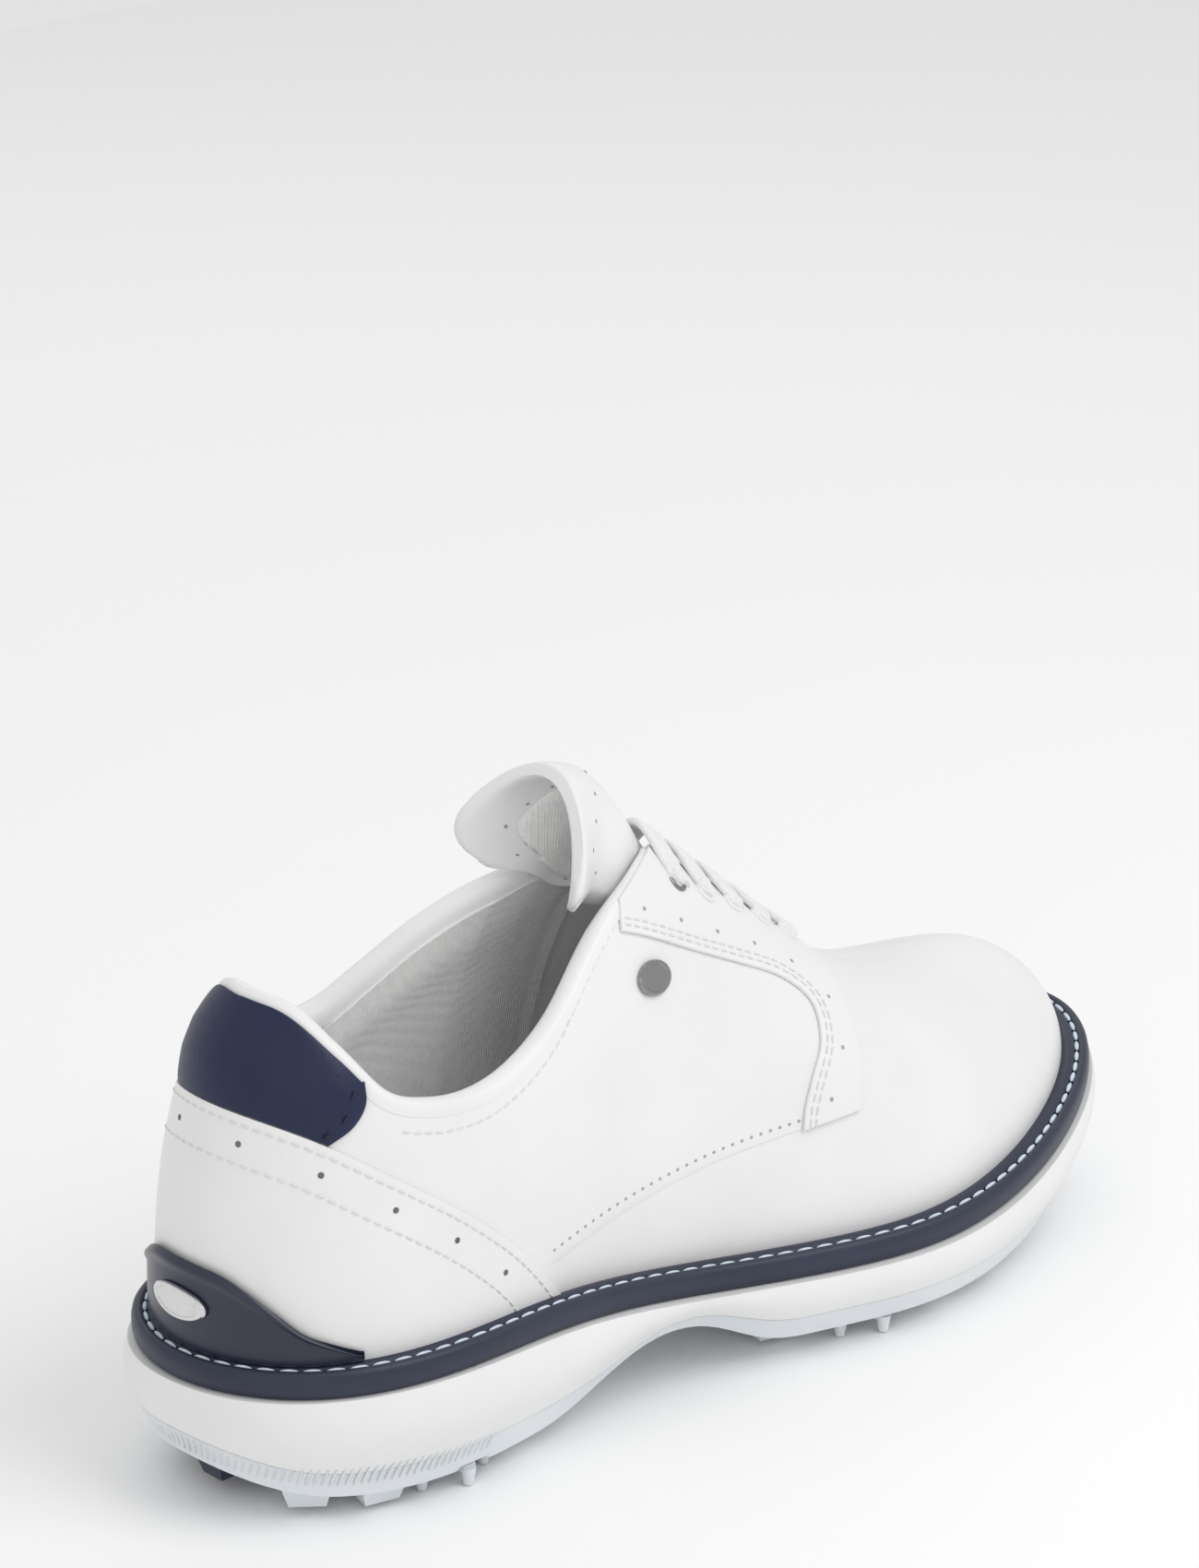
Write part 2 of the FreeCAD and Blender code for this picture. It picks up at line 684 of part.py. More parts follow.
def ring_solid(grid):
    surface = Part.BSplineSurface()
    surface.interpolate(grid)
    first_u, last_u, first_v, last_v = surface.bounds()
    toe_u = surface.parameter(grid[STATIONS][len(grid[0]) // 2])[0]
    halves = []
    for low_u, high_u in ((first_u, toe_u), (toe_u, last_u)):
        half = surface.copy()
        half.segment(low_u, high_u, first_v, last_v)
        halves.append(half)
    faces = [half.toShape() for half in halves]
    for v in (first_v, last_v):
        edges = [half.vIso(v).toShape() for half in halves]
        faces.append(Part.makeRuledSurface(edges[0], edges[1]))
    return sewn_solid(faces)


SOLE_SIDE = [(-0.12, 6.3), (0.0, 6.3), (0.12, 6.6), (0.28, 8.2), (0.42, 8.6), (0.58, 7.6), (0.72, 5.6),
             (0.86, 3.6), (1.0, 2.0), (1.12, 1.2)]
sole_block = ring_solid(sole_columns(SOLE_SIDE))
welt_side = [(-0.3, 6.3), (0.0, 6.3), (0.3, 6.3), (0.6, 6.3)]
welt_block = ring_solid(sole_columns(welt_side))
upper_wall = dome(GAP)
welt_shape = welt_block.common(band(midsole_top, welt_top, low_lift=0.1)).cut(upper_wall)
add_shape("welt", welt_shape)

shank_box = Part.makeBox(84.0, 15.0, 30.0, Vector(72.0, -9.0, 12.0))
shank_band = band(midsole_top, midsole_top, low_lift=-1.35, high_lift=-0.15)
add_shape("shank", shank_band.common(shank_box))
shank_pocket = band(midsole_top, midsole_top, low_lift=-1.5, high_lift=3.0).common(
    Part.makeBox(84.6, 15.6, 40.0, Vector(71.7, -9.3, 8.0)))
midsole = sole_block.common(band(outsole_top, midsole_top, low_lift=0.1)).cut(shank_pocket)
board_wall = dome(LINING_INNER - 0.15)
add_shape("insole_board", board_wall.common(band(midsole_top, welt_top, low_lift=0.2, high_lift=-3.9)))
add_shape("sockliner", board_wall.common(band(midsole_top, welt_top, low_lift=2.6, high_lift=-0.4)))
print("soles done")

# ---- cleats: seven screwed-in studs, each in its own socket ----
CLEATS = {
    "cleat_heel_lateral": (57.0, -26.0),
    "cleat_heel_medial": (57.0, 19.0),
    "cleat_waist_lateral": (183.0, -37.0),
    "cleat_ball_medial": (178.0, 22.0),
    "cleat_front_medial": (219.0, 27.0),
    "cleat_toe_lateral": (251.0, -20.5),
    "cleat_toe_medial": (258.0, 17.0),
}
FLAT_SEAT = 6.6


def seat_height(x):
    return FLAT_SEAT if x < 230.0 else sole_bottom(x) + 0.6


def bind(piece, **links):
    for name, text in links.items():
        piece.setExpression(name, text)


def primitive(kind, name, placement, **links):
    piece = document.addObject(kind, name)
    piece.Placement = placement
    bind(piece, **links)
    return piece


def make_cleat(label, x, y):
    seat = seat_height(x)
    parts = [
        primitive("Part::Cylinder", label + "_plate", Placement(Vector(0, 0, -2.3), Rotation()),
                  Radius="sizes.cleat_radius", Height="sizes.cleat_plate"),
        primitive("Part::Cylinder", label + "_post", Placement(Vector(0, 0, -0.4), Rotation()),
                  Radius="sizes.cleat_post_radius", Height="sizes.cleat_post_length"),
    ]
    legs = int(size("cleat_count"))
    for i in range(legs):
        turn = Rotation(Vector(0, 0, 1), 360.0 * (i + 0.5) / legs)
        arm = turn.multVec(Vector(6.0, -1.7, -3.4))
        parts.append(primitive("Part::Box", label + "_arm%d" % i, Placement(arm, turn),
                               Length="sizes.cleat_leg_reach - 7", Width="3.4", Height="2.0"))
        foot = turn.multVec(Vector(size("cleat_leg_reach") - 1.6, 0, -FLAT_SEAT))
        parts.append(primitive("Part::Cone", label + "_foot%d" % i, Placement(foot, turn),
                               Radius1="1.2", Radius2="1.9", Height="4.4"))
    whole = document.addObject("Part::MultiFuse", label)
    whole.Shapes = parts
    whole.Label = label
    whole.Placement = Placement(SHIFT + Vector(x, y, seat), Rotation())
    return whole


for label, (x, y) in CLEATS.items():
    make_cleat(label, x, y)

sockets, pockets = [], []
for x, y in CLEATS.values():
    seat = seat_height(x)
    body = Part.makeCylinder(size("receptacle_radius"), size("receptacle_height"), Vector(x, y, seat))
    bore_radius = size("cleat_post_radius") + size("cleat_clearance")
    bore = Part.makeCylinder(bore_radius, size("cleat_post_length"), Vector(x, y, seat - 0.1))
    sockets.append(body.cut(bore))
    pockets.append(Part.makeCylinder(size("receptacle_radius") + 0.06, size("receptacle_height") + 0.1,
                                     Vector(x, y, seat - 0.05)))
    pockets.append(Part.makeCylinder(size("cleat_leg_reach") + 1.0, 40.0, Vector(x, y, seat - 40.0)))
add_shape("cleat_sockets", Part.makeCompound(sockets))


# ---- outsole with its lugs, and the navy heel pad ----
def tapered_lug(x, y, angle, long=12.0, wide=8.0):
    # a block with sloping sides, its long way turned by an angle from X
    base, foot = sole_bottom(x) + 1.2, sole_bottom(x) - 4.8
    turn = Rotation(Vector(0, 0, 1), angle)
    rings = []
    for z, trim in ((base, 0.0), (foot, 1.7)):
        a, b = long / 2 - trim, wide / 2 - trim
        corners = [Vector(-a, -b, 0), Vector(a, -b, 0), Vector(a, b, 0), Vector(-a, b, 0)]
        corners = [turn.multVec(corner) + Vector(x, y, z) for corner in corners]
        rings.append(Part.makePolygon(corners + corners[:1]))
    return Part.makeLoft(rings, True, True)


EDGE_LUGS = [
    (22.0, -21.0, -40.0), (36.0, -29.5, -14.0), (76.0, -28.0, 4.0), (78.0, 22.0, 4.0), (36.0, 24.0, 20.0),
    (160.0, -32.0, -12.0), (205.0, -42.0, 0.0), (226.0, -36.0, 18.0), (158.0, 22.0, 10.0),
    (199.0, 33.0, 3.0), (240.0, 31.0, -20.0), (273.0, -4.0, 80.0), (196.0, -6.0, 40.0), (160.0, -8.0, 40.0),
    (222.0, -8.0, 60.0), (237.0, 6.0, 80.0),
]
PAD_LUGS = [(14.0, 1.0, 90.0), (22.0, 17.0, 40.0), (30.0, 3.0, 90.0)]
outsole = sole_block.common(band(sole_bottom, outsole_top))
for x, y, angle in EDGE_LUGS:
    outsole = outsole.fuse(tapered_lug(x, y, angle))


def pad_prism_of(grow):
    corners = [(9, -6), (38, -8), (40, 12), (28, 22), (15, 18)]
    middle_x, middle_y = 26.0, 7.0
    outline = [Vector(x + math.copysign(grow, x - middle_x), y + math.copysign(grow, y - middle_y), 0)
               for x, y in corners]
    return Part.Face(Part.makePolygon(outline + outline[:1])).extrude(Vector(0, 0, 40))


pad_prism = pad_prism_of(0.0)
pad = pad_prism.common(band(sole_bottom, sole_bottom, low_lift=-0.8, high_lift=1.6))
pad_hole = pad_prism_of(0.15).common(band(sole_bottom, sole_bottom, low_lift=-6.0, high_lift=1.7))
for x, y, angle in PAD_LUGS:
    pad = pad.fuse(tapered_lug(x, y, angle, 10.0, 7.0).common(below(sole_bottom, -0.3)))
outsole = outsole.cut(pad_hole)
for tool in pockets:
    outsole = outsole.cut(tool)
    midsole = midsole.cut(tool)
add_shape("outsole", outsole)
add_shape("heel_outsole_pad", pad)
add_shape("midsole", midsole)
print("outsole done")

# ---- hardware: clip, badges, eyelets ----
add_shape("heel_clip", clip)
ellipse = Part.Ellipse(Vector(0, 0, 0), size("heel_badge_width") / 2, size("heel_badge_height") / 2).toShape()
disc = Part.Face(Part.Wire(ellipse)).extrude(Vector(0, 0, 60))
turn = Rotation(Vector(0, 1, 0), 90).multiply(Rotation(Vector(0, 0, 1), 90))
disc.Placement = Placement(Vector(-30, 0, 51.0), turn)
add_shape("heel_badge", layer(CLIP_OUTER + 1.0, CLIP_OUTER + 0.1, disc))


def oriented(point, normal):
    return Placement(point, Rotation(Vector(0, 0, 1), normal))


def moved(placement):
    return Placement(placement.Base + SHIFT, placement.Rotation)


badge_point, badge_normal = point_over(LATERAL, 128.0, -24.0, 0.55)
badge = primitive("Part::Cylinder", "side_badge", moved(oriented(badge_point, badge_normal)),
                  Radius="sizes.badge_side / 2", Height="sizes.badge_thickness")
badge.Label = "side_badge"

for side in (LATERAL, MEDIAL):
    rings = []
    for i, (point, normal) in enumerate(eyelet_places(side, 0.0)):
        name = "%s_eyelet%d" % (side, i)
        barrel = primitive("Part::Cylinder", name + "_barrel", oriented(point - normal * (LEATHER + 0.2), normal),
                           Radius="sizes.eyelet_hole + 0.45", Height="sizes.leather + sizes.overlay + 0.7")
        flange = primitive("Part::Cylinder", name + "_flange", oriented(point + normal * (FRONT_OVER + 0.3), normal),
                           Radius="sizes.eyelet_rim", Height="0.6")
        bore = primitive("Part::Cylinder", name + "_bore", oriented(point - normal * 6, normal),
                         Radius="sizes.eyelet_hole", Height="12")
        both = document.addObject("Part::MultiFuse", name + "_body")
        both.Shapes = [barrel, flange]
        ring = document.addObject("Part::Cut", name)
        ring.Base, ring.Tool = both, bore
        rings.append(ring)
    group = document.addObject("Part::Compound", side + "_eyelets")
    group.Links = rings
    group.Label = side + "_eyelets"
    group.Placement = Placement(SHIFT, Rotation())

# ---- the lace: one cord that crosses the tongue five times and runs under the edges between the rows ----
LACE_RADIUS = size("lace_radius")
lace_points = []
row_order = [LATERAL, MEDIAL]
spots = {side: eyelet_places(side, 0.0) for side in row_order}
TOP_LIFT = FRONT_OVER + 0.9 + LACE_RADIUS + 0.25
UNDER_DROP = -(LEATHER + 0.2 + LACE_RADIUS + 0.15)
for i in range(len(EYELET_XS)):
    start, end = row_order if i % 2 == 0 else row_order[::-1]
    a, a_normal = spots[start][i]
    b, b_normal = spots[end][i]
    inward = b - a
    inward.normalize()
    middle = (a + b) * 0.5
    crown = Vector(middle.x, middle.y, ridge_height(middle.x) + 2.5)
    forward = spots[start][min(i + 1, 4)][0] - spots[start][max(i - 1, 0)][0]
    forward.normalize()
    lace_points += [a + a_normal * UNDER_DROP - forward * (1.6 if i else 0.0)]
    lace_points += [a, a + a_normal * TOP_LIFT + inward * 1.6]
    lace_points += [crown]
    lace_points += [b + b_normal * TOP_LIFT - inward * 1.6, b]
    lace_points += [b + b_normal * UNDER_DROP + forward * (1.6 if i < 4 else 0.0)]
lace_line = Part.BSplineCurve()
lace_line.interpolate(lace_points)
path = Part.Wire(lace_line.toShape())
start_point, start_tangent = lace_line.value(0.0), lace_line.tangent(0.0)[0]
circle = Part.Wire(Part.makeCircle(LACE_RADIUS, start_point, start_tangent))
add_shape("lace", path.makePipeShell([circle], True, True))
print("hardware done")


# ---- checks and export ----
NODES = [
    "outsole", "heel_outsole_pad", "midsole", "shank", "welt", "insole_board", "sockliner", "vamp", "toe_puff",
    "vamp_lining", "lateral_quarter", "medial_quarter", "lateral_facing", "medial_facing", "heel_foxing",
    "collar_tab", "heel_counter", "collar_foam", "quarter_lining", "collar_rim", "tongue_base", "tongue_top",
    "heel_clip", "heel_badge", "side_badge", "lateral_eyelets", "medial_eyelets", "lace", "cleat_sockets",
] + list(CLEATS)
document.recompute()
by_label = {}
for item in document.Objects:
    if "Invalid" in item.State or "Error" in item.State:
        raise RuntimeError("%s did not compute" % item.Label)
    if hasattr(item, "Shape") and item.TypeId != "Spreadsheet::Sheet":
        if item.Shape.isNull() or not item.Shape.isValid():
            raise RuntimeError("%s has a bad shape" % item.Label)
    by_label[item.Label] = item
os.makedirs("parts", exist_ok=True)
for node in NODES:
    item = by_label[node]
    item.Shape.exportStep("parts/%s.step" % node)
    print(node, round(item.Shape.Volume), len(item.Shape.Solids))
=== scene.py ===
import bpy
import math
import numpy as np
from mathutils import Matrix, Vector


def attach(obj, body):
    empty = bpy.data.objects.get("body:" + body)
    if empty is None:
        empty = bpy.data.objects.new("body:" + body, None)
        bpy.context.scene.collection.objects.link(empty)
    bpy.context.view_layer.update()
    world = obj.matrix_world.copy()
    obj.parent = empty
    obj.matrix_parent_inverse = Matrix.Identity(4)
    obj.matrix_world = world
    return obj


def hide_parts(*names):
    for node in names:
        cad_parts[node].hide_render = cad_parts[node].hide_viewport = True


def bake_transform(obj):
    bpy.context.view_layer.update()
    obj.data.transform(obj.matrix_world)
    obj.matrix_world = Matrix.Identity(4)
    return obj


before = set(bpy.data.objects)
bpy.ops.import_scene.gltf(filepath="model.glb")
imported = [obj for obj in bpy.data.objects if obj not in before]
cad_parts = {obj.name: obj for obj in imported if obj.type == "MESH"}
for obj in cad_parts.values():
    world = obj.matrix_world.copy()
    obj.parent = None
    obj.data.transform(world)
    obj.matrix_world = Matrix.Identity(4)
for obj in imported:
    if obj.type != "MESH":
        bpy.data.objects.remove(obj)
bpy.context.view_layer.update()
print("frame loaded")

# lasting works in millimetres from the back of the heel; toWorld brings it to the frame
shoe = {"length": 300.0, "forward": -149.0, "sideways": 3.0, "scale": 0.001}
lateral, medial = "lateral", "medial"
weltTopStations = [(0.0, 40.0), (0.25, 38.5), (0.5, 30.0), (0.75, 31.5), (1.0, 41.5)]
soleBottomStations = [(0.0, 15.0), (0.04, 9.0), (0.09, 6.2), (0.28, 6.0), (0.32, 9.5), (0.365, 13.5),
                      (0.4, 16.2), (0.44, 15.0), (0.475, 10.0), (0.51, 6.4), (0.56, 6.0), (0.76, 6.0),
                      (0.85, 9.0), (1.0, 21.0)]
ridgeStations = [(0.1, 136.0), (0.223, 143.0), (0.333, 140.0), (0.45, 133.0), (0.55, 111.0), (0.65, 87.0),
                 (0.74, 72.0), (0.847, 67.5)]
featherStations = [(0.0233, 1.0), (0.063, -25.0), (0.167, -36.5), (0.333, -33.5), (0.483, -38.5),
                   (0.633, -50.5), (0.75, -47.0), (0.85, -35.0), (0.93, -18.0), (0.97, 4.0), (0.937, 27.0),
                   (0.853, 41.0), (0.75, 43.5), (0.617, 39.0), (0.467, 31.0), (0.333, 29.0),
                   (0.167, 32.0), (0.063, 25.0)]


def toWorld(points):
    points = np.asarray(points, float)
    return (points + np.array([shoe["forward"], shoe["sideways"], 0.0])) * shoe["scale"]


def heightCurve(stations):
    xs = np.array([share * shoe["length"] for share, height in stations])
    zs = np.array([height for share, height in stations])
    slopes = np.array([(zs[min(i + 1, len(xs) - 1)] - zs[max(i - 1, 0)])
                       / (xs[min(i + 1, len(xs) - 1)] - xs[max(i - 1, 0)])
                       for i in range(len(xs))])

    def height(x):
        x = np.asarray(x, float)
        inner = np.clip(x, xs[0], xs[-1])
        i = np.clip(np.searchsorted(xs, inner, side="right") - 1, 0, len(xs) - 2)
        step = xs[i + 1] - xs[i]
        f = (inner - xs[i]) / step
        curve = (zs[i] * (1 + 2 * f) * (1 - f) ** 2 + slopes[i] * step * f * (1 - f) ** 2
                 + zs[i + 1] * f * f * (3 - 2 * f) - slopes[i + 1] * step * f * f * (1 - f))
        early = np.where(x < xs[0], slopes[0] * (x - xs[0]), 0)
        late = np.where(x > xs[-1], slopes[-1] * (x - xs[-1]), 0)
        return curve + early + late

    return height


weltTop = heightCurve(weltTopStations)
soleBottom = heightCurve(soleBottomStations)
ridgeHeight = heightCurve(ridgeStations)


def closedSpline(points):
    # a smooth closed curve through the points, the same one the frame was drawn with
    points = np.asarray(points, float)
    count = len(points)
    steps = np.sqrt(np.linalg.norm(np.roll(points, -1, 0) - points, axis=1))
    knots = np.concatenate([[0], np.cumsum(steps)])
    system = np.zeros((count, count))
    right = np.zeros((count, points.shape[1]))
    for i in range(count):
        before, after = steps[i - 1], steps[i]
        system[i, i - 1] += before
        system[i, i] += 2 * (before + after)
        system[i, (i + 1) % count] += after
        right[i] = 6 * ((points[(i + 1) % count] - points[i]) / after
                        - (points[i] - points[i - 1]) / before)
    bends = np.linalg.solve(system, right)

    def value(s):
        s = np.mod(np.asarray(s, float), 1.0) * knots[-1]
        i = np.clip(np.searchsorted(knots, s, side="right") - 1, 0, count - 1)
        after = (i + 1) % count
        h = steps[i][..., None]
        a = (knots[i + 1] - s)[..., None] / h
        b = 1 - a
        return (a * points[i] + b * points[after]
                + ((a ** 3 - a) * bends[i] + (b ** 3 - b) * bends[after]) * h * h / 6)

    return value


featherAt = closedSpline([(share * shoe["length"], y) for share, y in featherStations])
denseS = np.linspace(-0.1, 1.1, 4801)
denseX = featherAt(denseS)[:, 0]
heelS = denseS[:800][np.argmin(denseX[:800])]
toeS = denseS[1600:3200][np.argmax(denseX[1600:3200])]
heelX, toeX = float(featherAt(heelS)[0]), float(featherAt(toeS)[0])
last = {"ridgeBack": 66.9, "ridgeFront": 254.1, "yBack": -2.0, "yFront": 5.0, "squareHeel": 2.25,
        "squareToe": 1.77, "inside": (150.0, 1.0, 45.0), "halvings": (26, 24)}


def sAt(side, x):
    # how far round the feather line a given length along the shoe is
    if side == lateral:
        s = np.linspace(heelS, toeS, 2000)
    else:
        s = np.linspace(heelS + 1.0, toeS, 2000)
    return np.interp(x, featherAt(s)[:, 0], s)


def archPoint(s, t):
    foot = featherAt(s)
    fx, fy = foot[..., 0], foot[..., 1]
    along = (fx - heelX) / (toeX - heelX)
    topX = last["ridgeBack"] + (last["ridgeFront"] - last["ridgeBack"]) * along
    topY = last["yBack"] + (last["yFront"] - last["yBack"]) * along
    mix = np.clip((fx - 60.0) / 150.0, 0, 1)
    mix = mix * mix * (3 - 2 * mix)
    power = 2 / (last["squareHeel"] + (last["squareToe"] - last["squareHeel"]) * mix)
    rise = np.clip(t, 0, 1)
    inwards = 1 - np.maximum(np.cos(np.pi * rise / 2), 0) ** power
    upwards = np.sin(np.pi * rise / 2) ** power
    low = weltTop(fx)
    below = np.minimum(t, 0) * 60.0
    x = fx + (topX - fx) * inwards
    y = fy + (topY - fy) * inwards
    return np.stack([x, y, low + (ridgeHeight(topX) - low) * upwards + below], -1)


def lastNormal(s, t):
    step = 0.002
    t = np.clip(t, 0.01, 0.99)
    around = archPoint(s + step, t) - archPoint(s - step, t)
    up = archPoint(s, t + step) - archPoint(s, t - step)
    normal = np.cross(around, up)
    normal /= np.linalg.norm(normal, axis=-1, keepdims=True) + 1e-12
    here = archPoint(s, t)
    outward = (normal * (here - np.array(last["inside"]))).sum(-1, keepdims=True)
    normal = normal * np.where(outward < 0, -1, 1)
    top = archPoint(s, np.ones_like(t))[..., 0]
    slope = (ridgeHeight(top + 1) - ridgeHeight(top - 1)) / 2
    crest = np.stack([-slope, np.zeros_like(slope), np.ones_like(slope)], -1)
    crest /= np.linalg.norm(crest, axis=-1, keepdims=True)
    mix = np.clip((t - 0.9) / 0.08, 0, 1)[..., None]
    normal = normal * (1 - mix) + crest * mix
    return normal / np.linalg.norm(normal, axis=-1, keepdims=True)


def onLast(s, t, lift=0.0):
    s, t = np.broadcast_arrays(np.asarray(s, float), np.asarray(t, float))
    lift = np.asarray(lift, float)
    return archPoint(s, t) + lastNormal(s, t) * (lift[..., None] if lift.ndim else lift)


def fromSide(side, points):
    # side-view points (x, z) to places (s, t) on the last
    points = np.asarray(points, float)
    lowT, highT = np.full(len(points), 0.001), np.full(len(points), 0.999)
    for halving in range(last["halvings"][0]):
        t = (lowT + highT) / 2
        back, front = np.full(len(points), heelX), np.full(len(points), toeX)
        for halving in range(last["halvings"][1]):
            foot = (back + front) / 2
            here = archPoint(sAt(side, foot), t)
            back = np.where(here[:, 0] < points[:, 0], foot, back)
            front = np.where(here[:, 0] < points[:, 0], front, foot)
        high = archPoint(sAt(side, foot), t)[:, 2] > points[:, 1]
        highT, lowT = np.where(high, t, highT), np.where(high, lowT, t)
    return np.stack([sAt(side, foot), t], -1)


def fair(points, count):
    # a smooth open run through a few points, evenly spaced
    points = np.asarray(points, float)
    if len(points) == 2:
        f = np.linspace(0, 1, count)[:, None]
        return points[0] * (1 - f) + points[1] * f
    ends = np.vstack([2 * points[0] - points[1], points, 2 * points[-1] - points[-2]])
    out = []
    for i in range(1, len(ends) - 2):
        a, b, c, d = ends[i - 1], ends[i], ends[i + 1], ends[i + 2]
        f = np.linspace(0, 1, 24, endpoint=False)[:, None]
        out.append(0.5 * (2 * b + (c - a) * f + (2 * a - 5 * b + 4 * c - d) * f ** 2
                          + (3 * b - a - 3 * c + d) * f ** 3))
    out = np.vstack(out + [points[-1:]])
    return resample(out, count)


def resample(points, count):
    points = np.asarray(points, float)
    steps = np.linalg.norm(np.diff(points, axis=0), axis=1)
    along = np.concatenate([[0], np.cumsum(steps)])
    wanted = np.linspace(0, along[-1], count)
    return np.stack([np.interp(wanted, along, points[:, k]) for k in range(points.shape[1])], -1)


def evenOnLast(path, count):
    # re-space (s, t) places so they lie evenly along the surface
    path = np.asarray(path, float)
    points = onLast(path[:, 0], path[:, 1])
    along = np.concatenate([[0], np.cumsum(np.linalg.norm(np.diff(points, axis=0), axis=1))])
    wanted = np.linspace(0, along[-1], count)
    return np.stack([np.interp(wanted, along, path[:, 0]),
                     np.interp(wanted, along, path[:, 1])], -1), along[-1]


def coons(low, high, left, right):
    # a net of places between four edge runs that share their corners
    nu, nv = len(low), len(left)
    u = np.linspace(0, 1, nu)[None, :, None]
    v = np.linspace(0, 1, nv)[:, None, None]
    low, high = np.asarray(low)[None], np.asarray(high)[None]
    left, right = np.asarray(left)[:, None], np.asarray(right)[:, None]
    return ((1 - v) * low + v * high + (1 - u) * left + u * right
            - ((1 - u) * (1 - v) * low[:, :1] + u * (1 - v) * low[:, -1:]
               + (1 - u) * v * high[:, :1] + u * v * high[:, -1:]))


def tWhere(s, reached):
    # the first height up each arch where a test is met
    s = np.asarray(s, float)
    t = np.linspace(0.0, 1.0, 401)
    points = archPoint(s[:, None] + 0 * t[None], t[None] + 0 * s[:, None])
    value = reached(points)
    hit = value >= 0
    first = np.where(hit.any(1), hit.argmax(1), len(t) - 1)
    before = np.maximum(first - 1, 0)
    row = np.arange(len(s))
    low, high = value[row, before], value[row, first]
    f = np.where(np.abs(high - low) > 1e-9, -low / (high - low + 1e-12), 1.0)
    return t[before] + (t[first] - t[before]) * np.clip(f, 0, 1)


def cutT(s, stations):
    # where a line drawn in the side view crosses each arch
    line = heightCurve([(x / shoe["length"], z) for x, z in stations])
    lowX, highX = stations[0][0], stations[-1][0]
    return tWhere(s, lambda p: p[..., 2] - line(np.clip(p[..., 0], lowX, highX)))


laceGap = {"half": 4.5, "middle": 0.5, "heelEnd": 60.0}


def laceEdgeT(s):
    # where the gap for the laces cuts each arch; the heel has none
    edge = tWhere(s, lambda p: laceGap["half"] - np.abs(p[..., 1] - laceGap["middle"]))
    return np.where(featherAt(s)[..., 0] > laceGap["heelEnd"], edge, 1.0)


def insetPath(path, distance):
    # the same run moved sideways on the last; a positive distance is to its left seen from outside
    s, t = path[:, 0], path[:, 1]
    points = onLast(s, t)
    along = np.gradient(points, axis=0)
    across = np.cross(lastNormal(s, t), along)
    across = across / (np.linalg.norm(across, axis=1, keepdims=True) + 1e-9) * distance
    e = 0.0005
    js = (onLast(s + e, t) - onLast(s - e, t)) / (2 * e)
    jt = (onLast(s, np.clip(t + e, 0, 1)) - onLast(s, np.clip(t - e, 0, 1))) / (2 * e)
    a, b, c = (js * js).sum(1), (js * jt).sum(1), (jt * jt).sum(1)
    p, q = (js * across).sum(1), (jt * across).sum(1)
    det = a * c - b * b + 1e-9
    return np.stack([s + (c * p - b * q) / det, t + (a * q - b * p) / det], -1)


def deselect():
    bpy.ops.object.select_all(action="DESELECT")


def activate(piece):
    deselect()
    piece.select_set(True)
    bpy.context.view_layer.objects.active = piece


def editMesh(piece, work):
    activate(piece)
    bpy.ops.object.mode_set(mode="EDIT")
    bpy.ops.mesh.select_all(action="SELECT")
    work()
    bpy.ops.object.mode_set(mode="OBJECT")


def applyAll(piece):
    activate(piece)
    for modifier in list(piece.modifiers):
        bpy.ops.object.modifier_apply(modifier=modifier.name)


def smooth(piece, angle=40):
    activate(piece)
    bpy.ops.object.shade_smooth_by_angle(angle=math.radians(angle))


def netPiece(name, net, closed=False):
    # a grid primitive laid onto a net of points, rows by columns
    rows, columns = net.shape[:2]
    deselect()
    bpy.ops.mesh.primitive_grid_add(x_subdivisions=columns - 1, y_subdivisions=rows - 1, size=2.0)
    piece = bpy.context.object
    piece.name = name
    piece.data.name = name
    flat = np.empty(len(piece.data.vertices) * 3)
    piece.data.vertices.foreach_get("co", flat)
    flat = flat.reshape(-1, 3)
    column = np.rint((flat[:, 0] + 1) / 2 * (columns - 1)).astype(int)
    row = np.rint((flat[:, 1] + 1) / 2 * (rows - 1)).astype(int)
    points = toWorld(net[row, column])
    piece.data.vertices.foreach_set("co", points.ravel())
    piece.data.update()
    if closed:
        editMesh(piece, lambda: bpy.ops.mesh.remove_doubles(threshold=0.00002))
    return piece


def faceOutward(piece):
    # turn the sheet over if its faces look towards the middle of the shoe
    centre = np.asarray(toWorld([last["inside"]])[0])
    total = 0.0
    for polygon in piece.data.polygons:
        total += polygon.area * np.dot(np.array(polygon.normal), np.array(polygon.center) - centre)
    if total < 0:
        editMesh(piece, lambda: bpy.ops.mesh.flip_normals())
    return piece


def leatherSheet(name, net, thickness, edge):
    # a cut panel with a rolled edge
    piece = faceOutward(netPiece(name, net))
    solid = piece.modifiers.new("thickness", "SOLIDIFY")
    solid.thickness = thickness * shoe["scale"]
    solid.offset = -1
    if edge:
        soft = piece.modifiers.new("edge", "BEVEL")
        soft.width = edge * shoe["scale"]
        soft.segments = 3
        soft.limit_method = "ANGLE"
        soft.angle_limit = math.radians(50)
    applyAll(piece)
    smooth(piece, 60)
    return piece


def joinPieces(name, pieces):
    activate(pieces[0])
    for piece in pieces[1:]:
        piece.select_set(True)
    if len(pieces) > 1:
        bpy.ops.object.join()
    pieces[0].name = name
    pieces[0].data.name = name
    return pieces[0]


def normalsOut(piece):
    editMesh(piece, lambda: bpy.ops.mesh.normals_make_consistent(inside=False))


def finishPiece(piece, body, nodes, material):
    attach(piece, body)
    if nodes:
        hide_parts(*nodes)
    piece.data.materials.clear()
    piece.data.materials.append(material)
    return piece


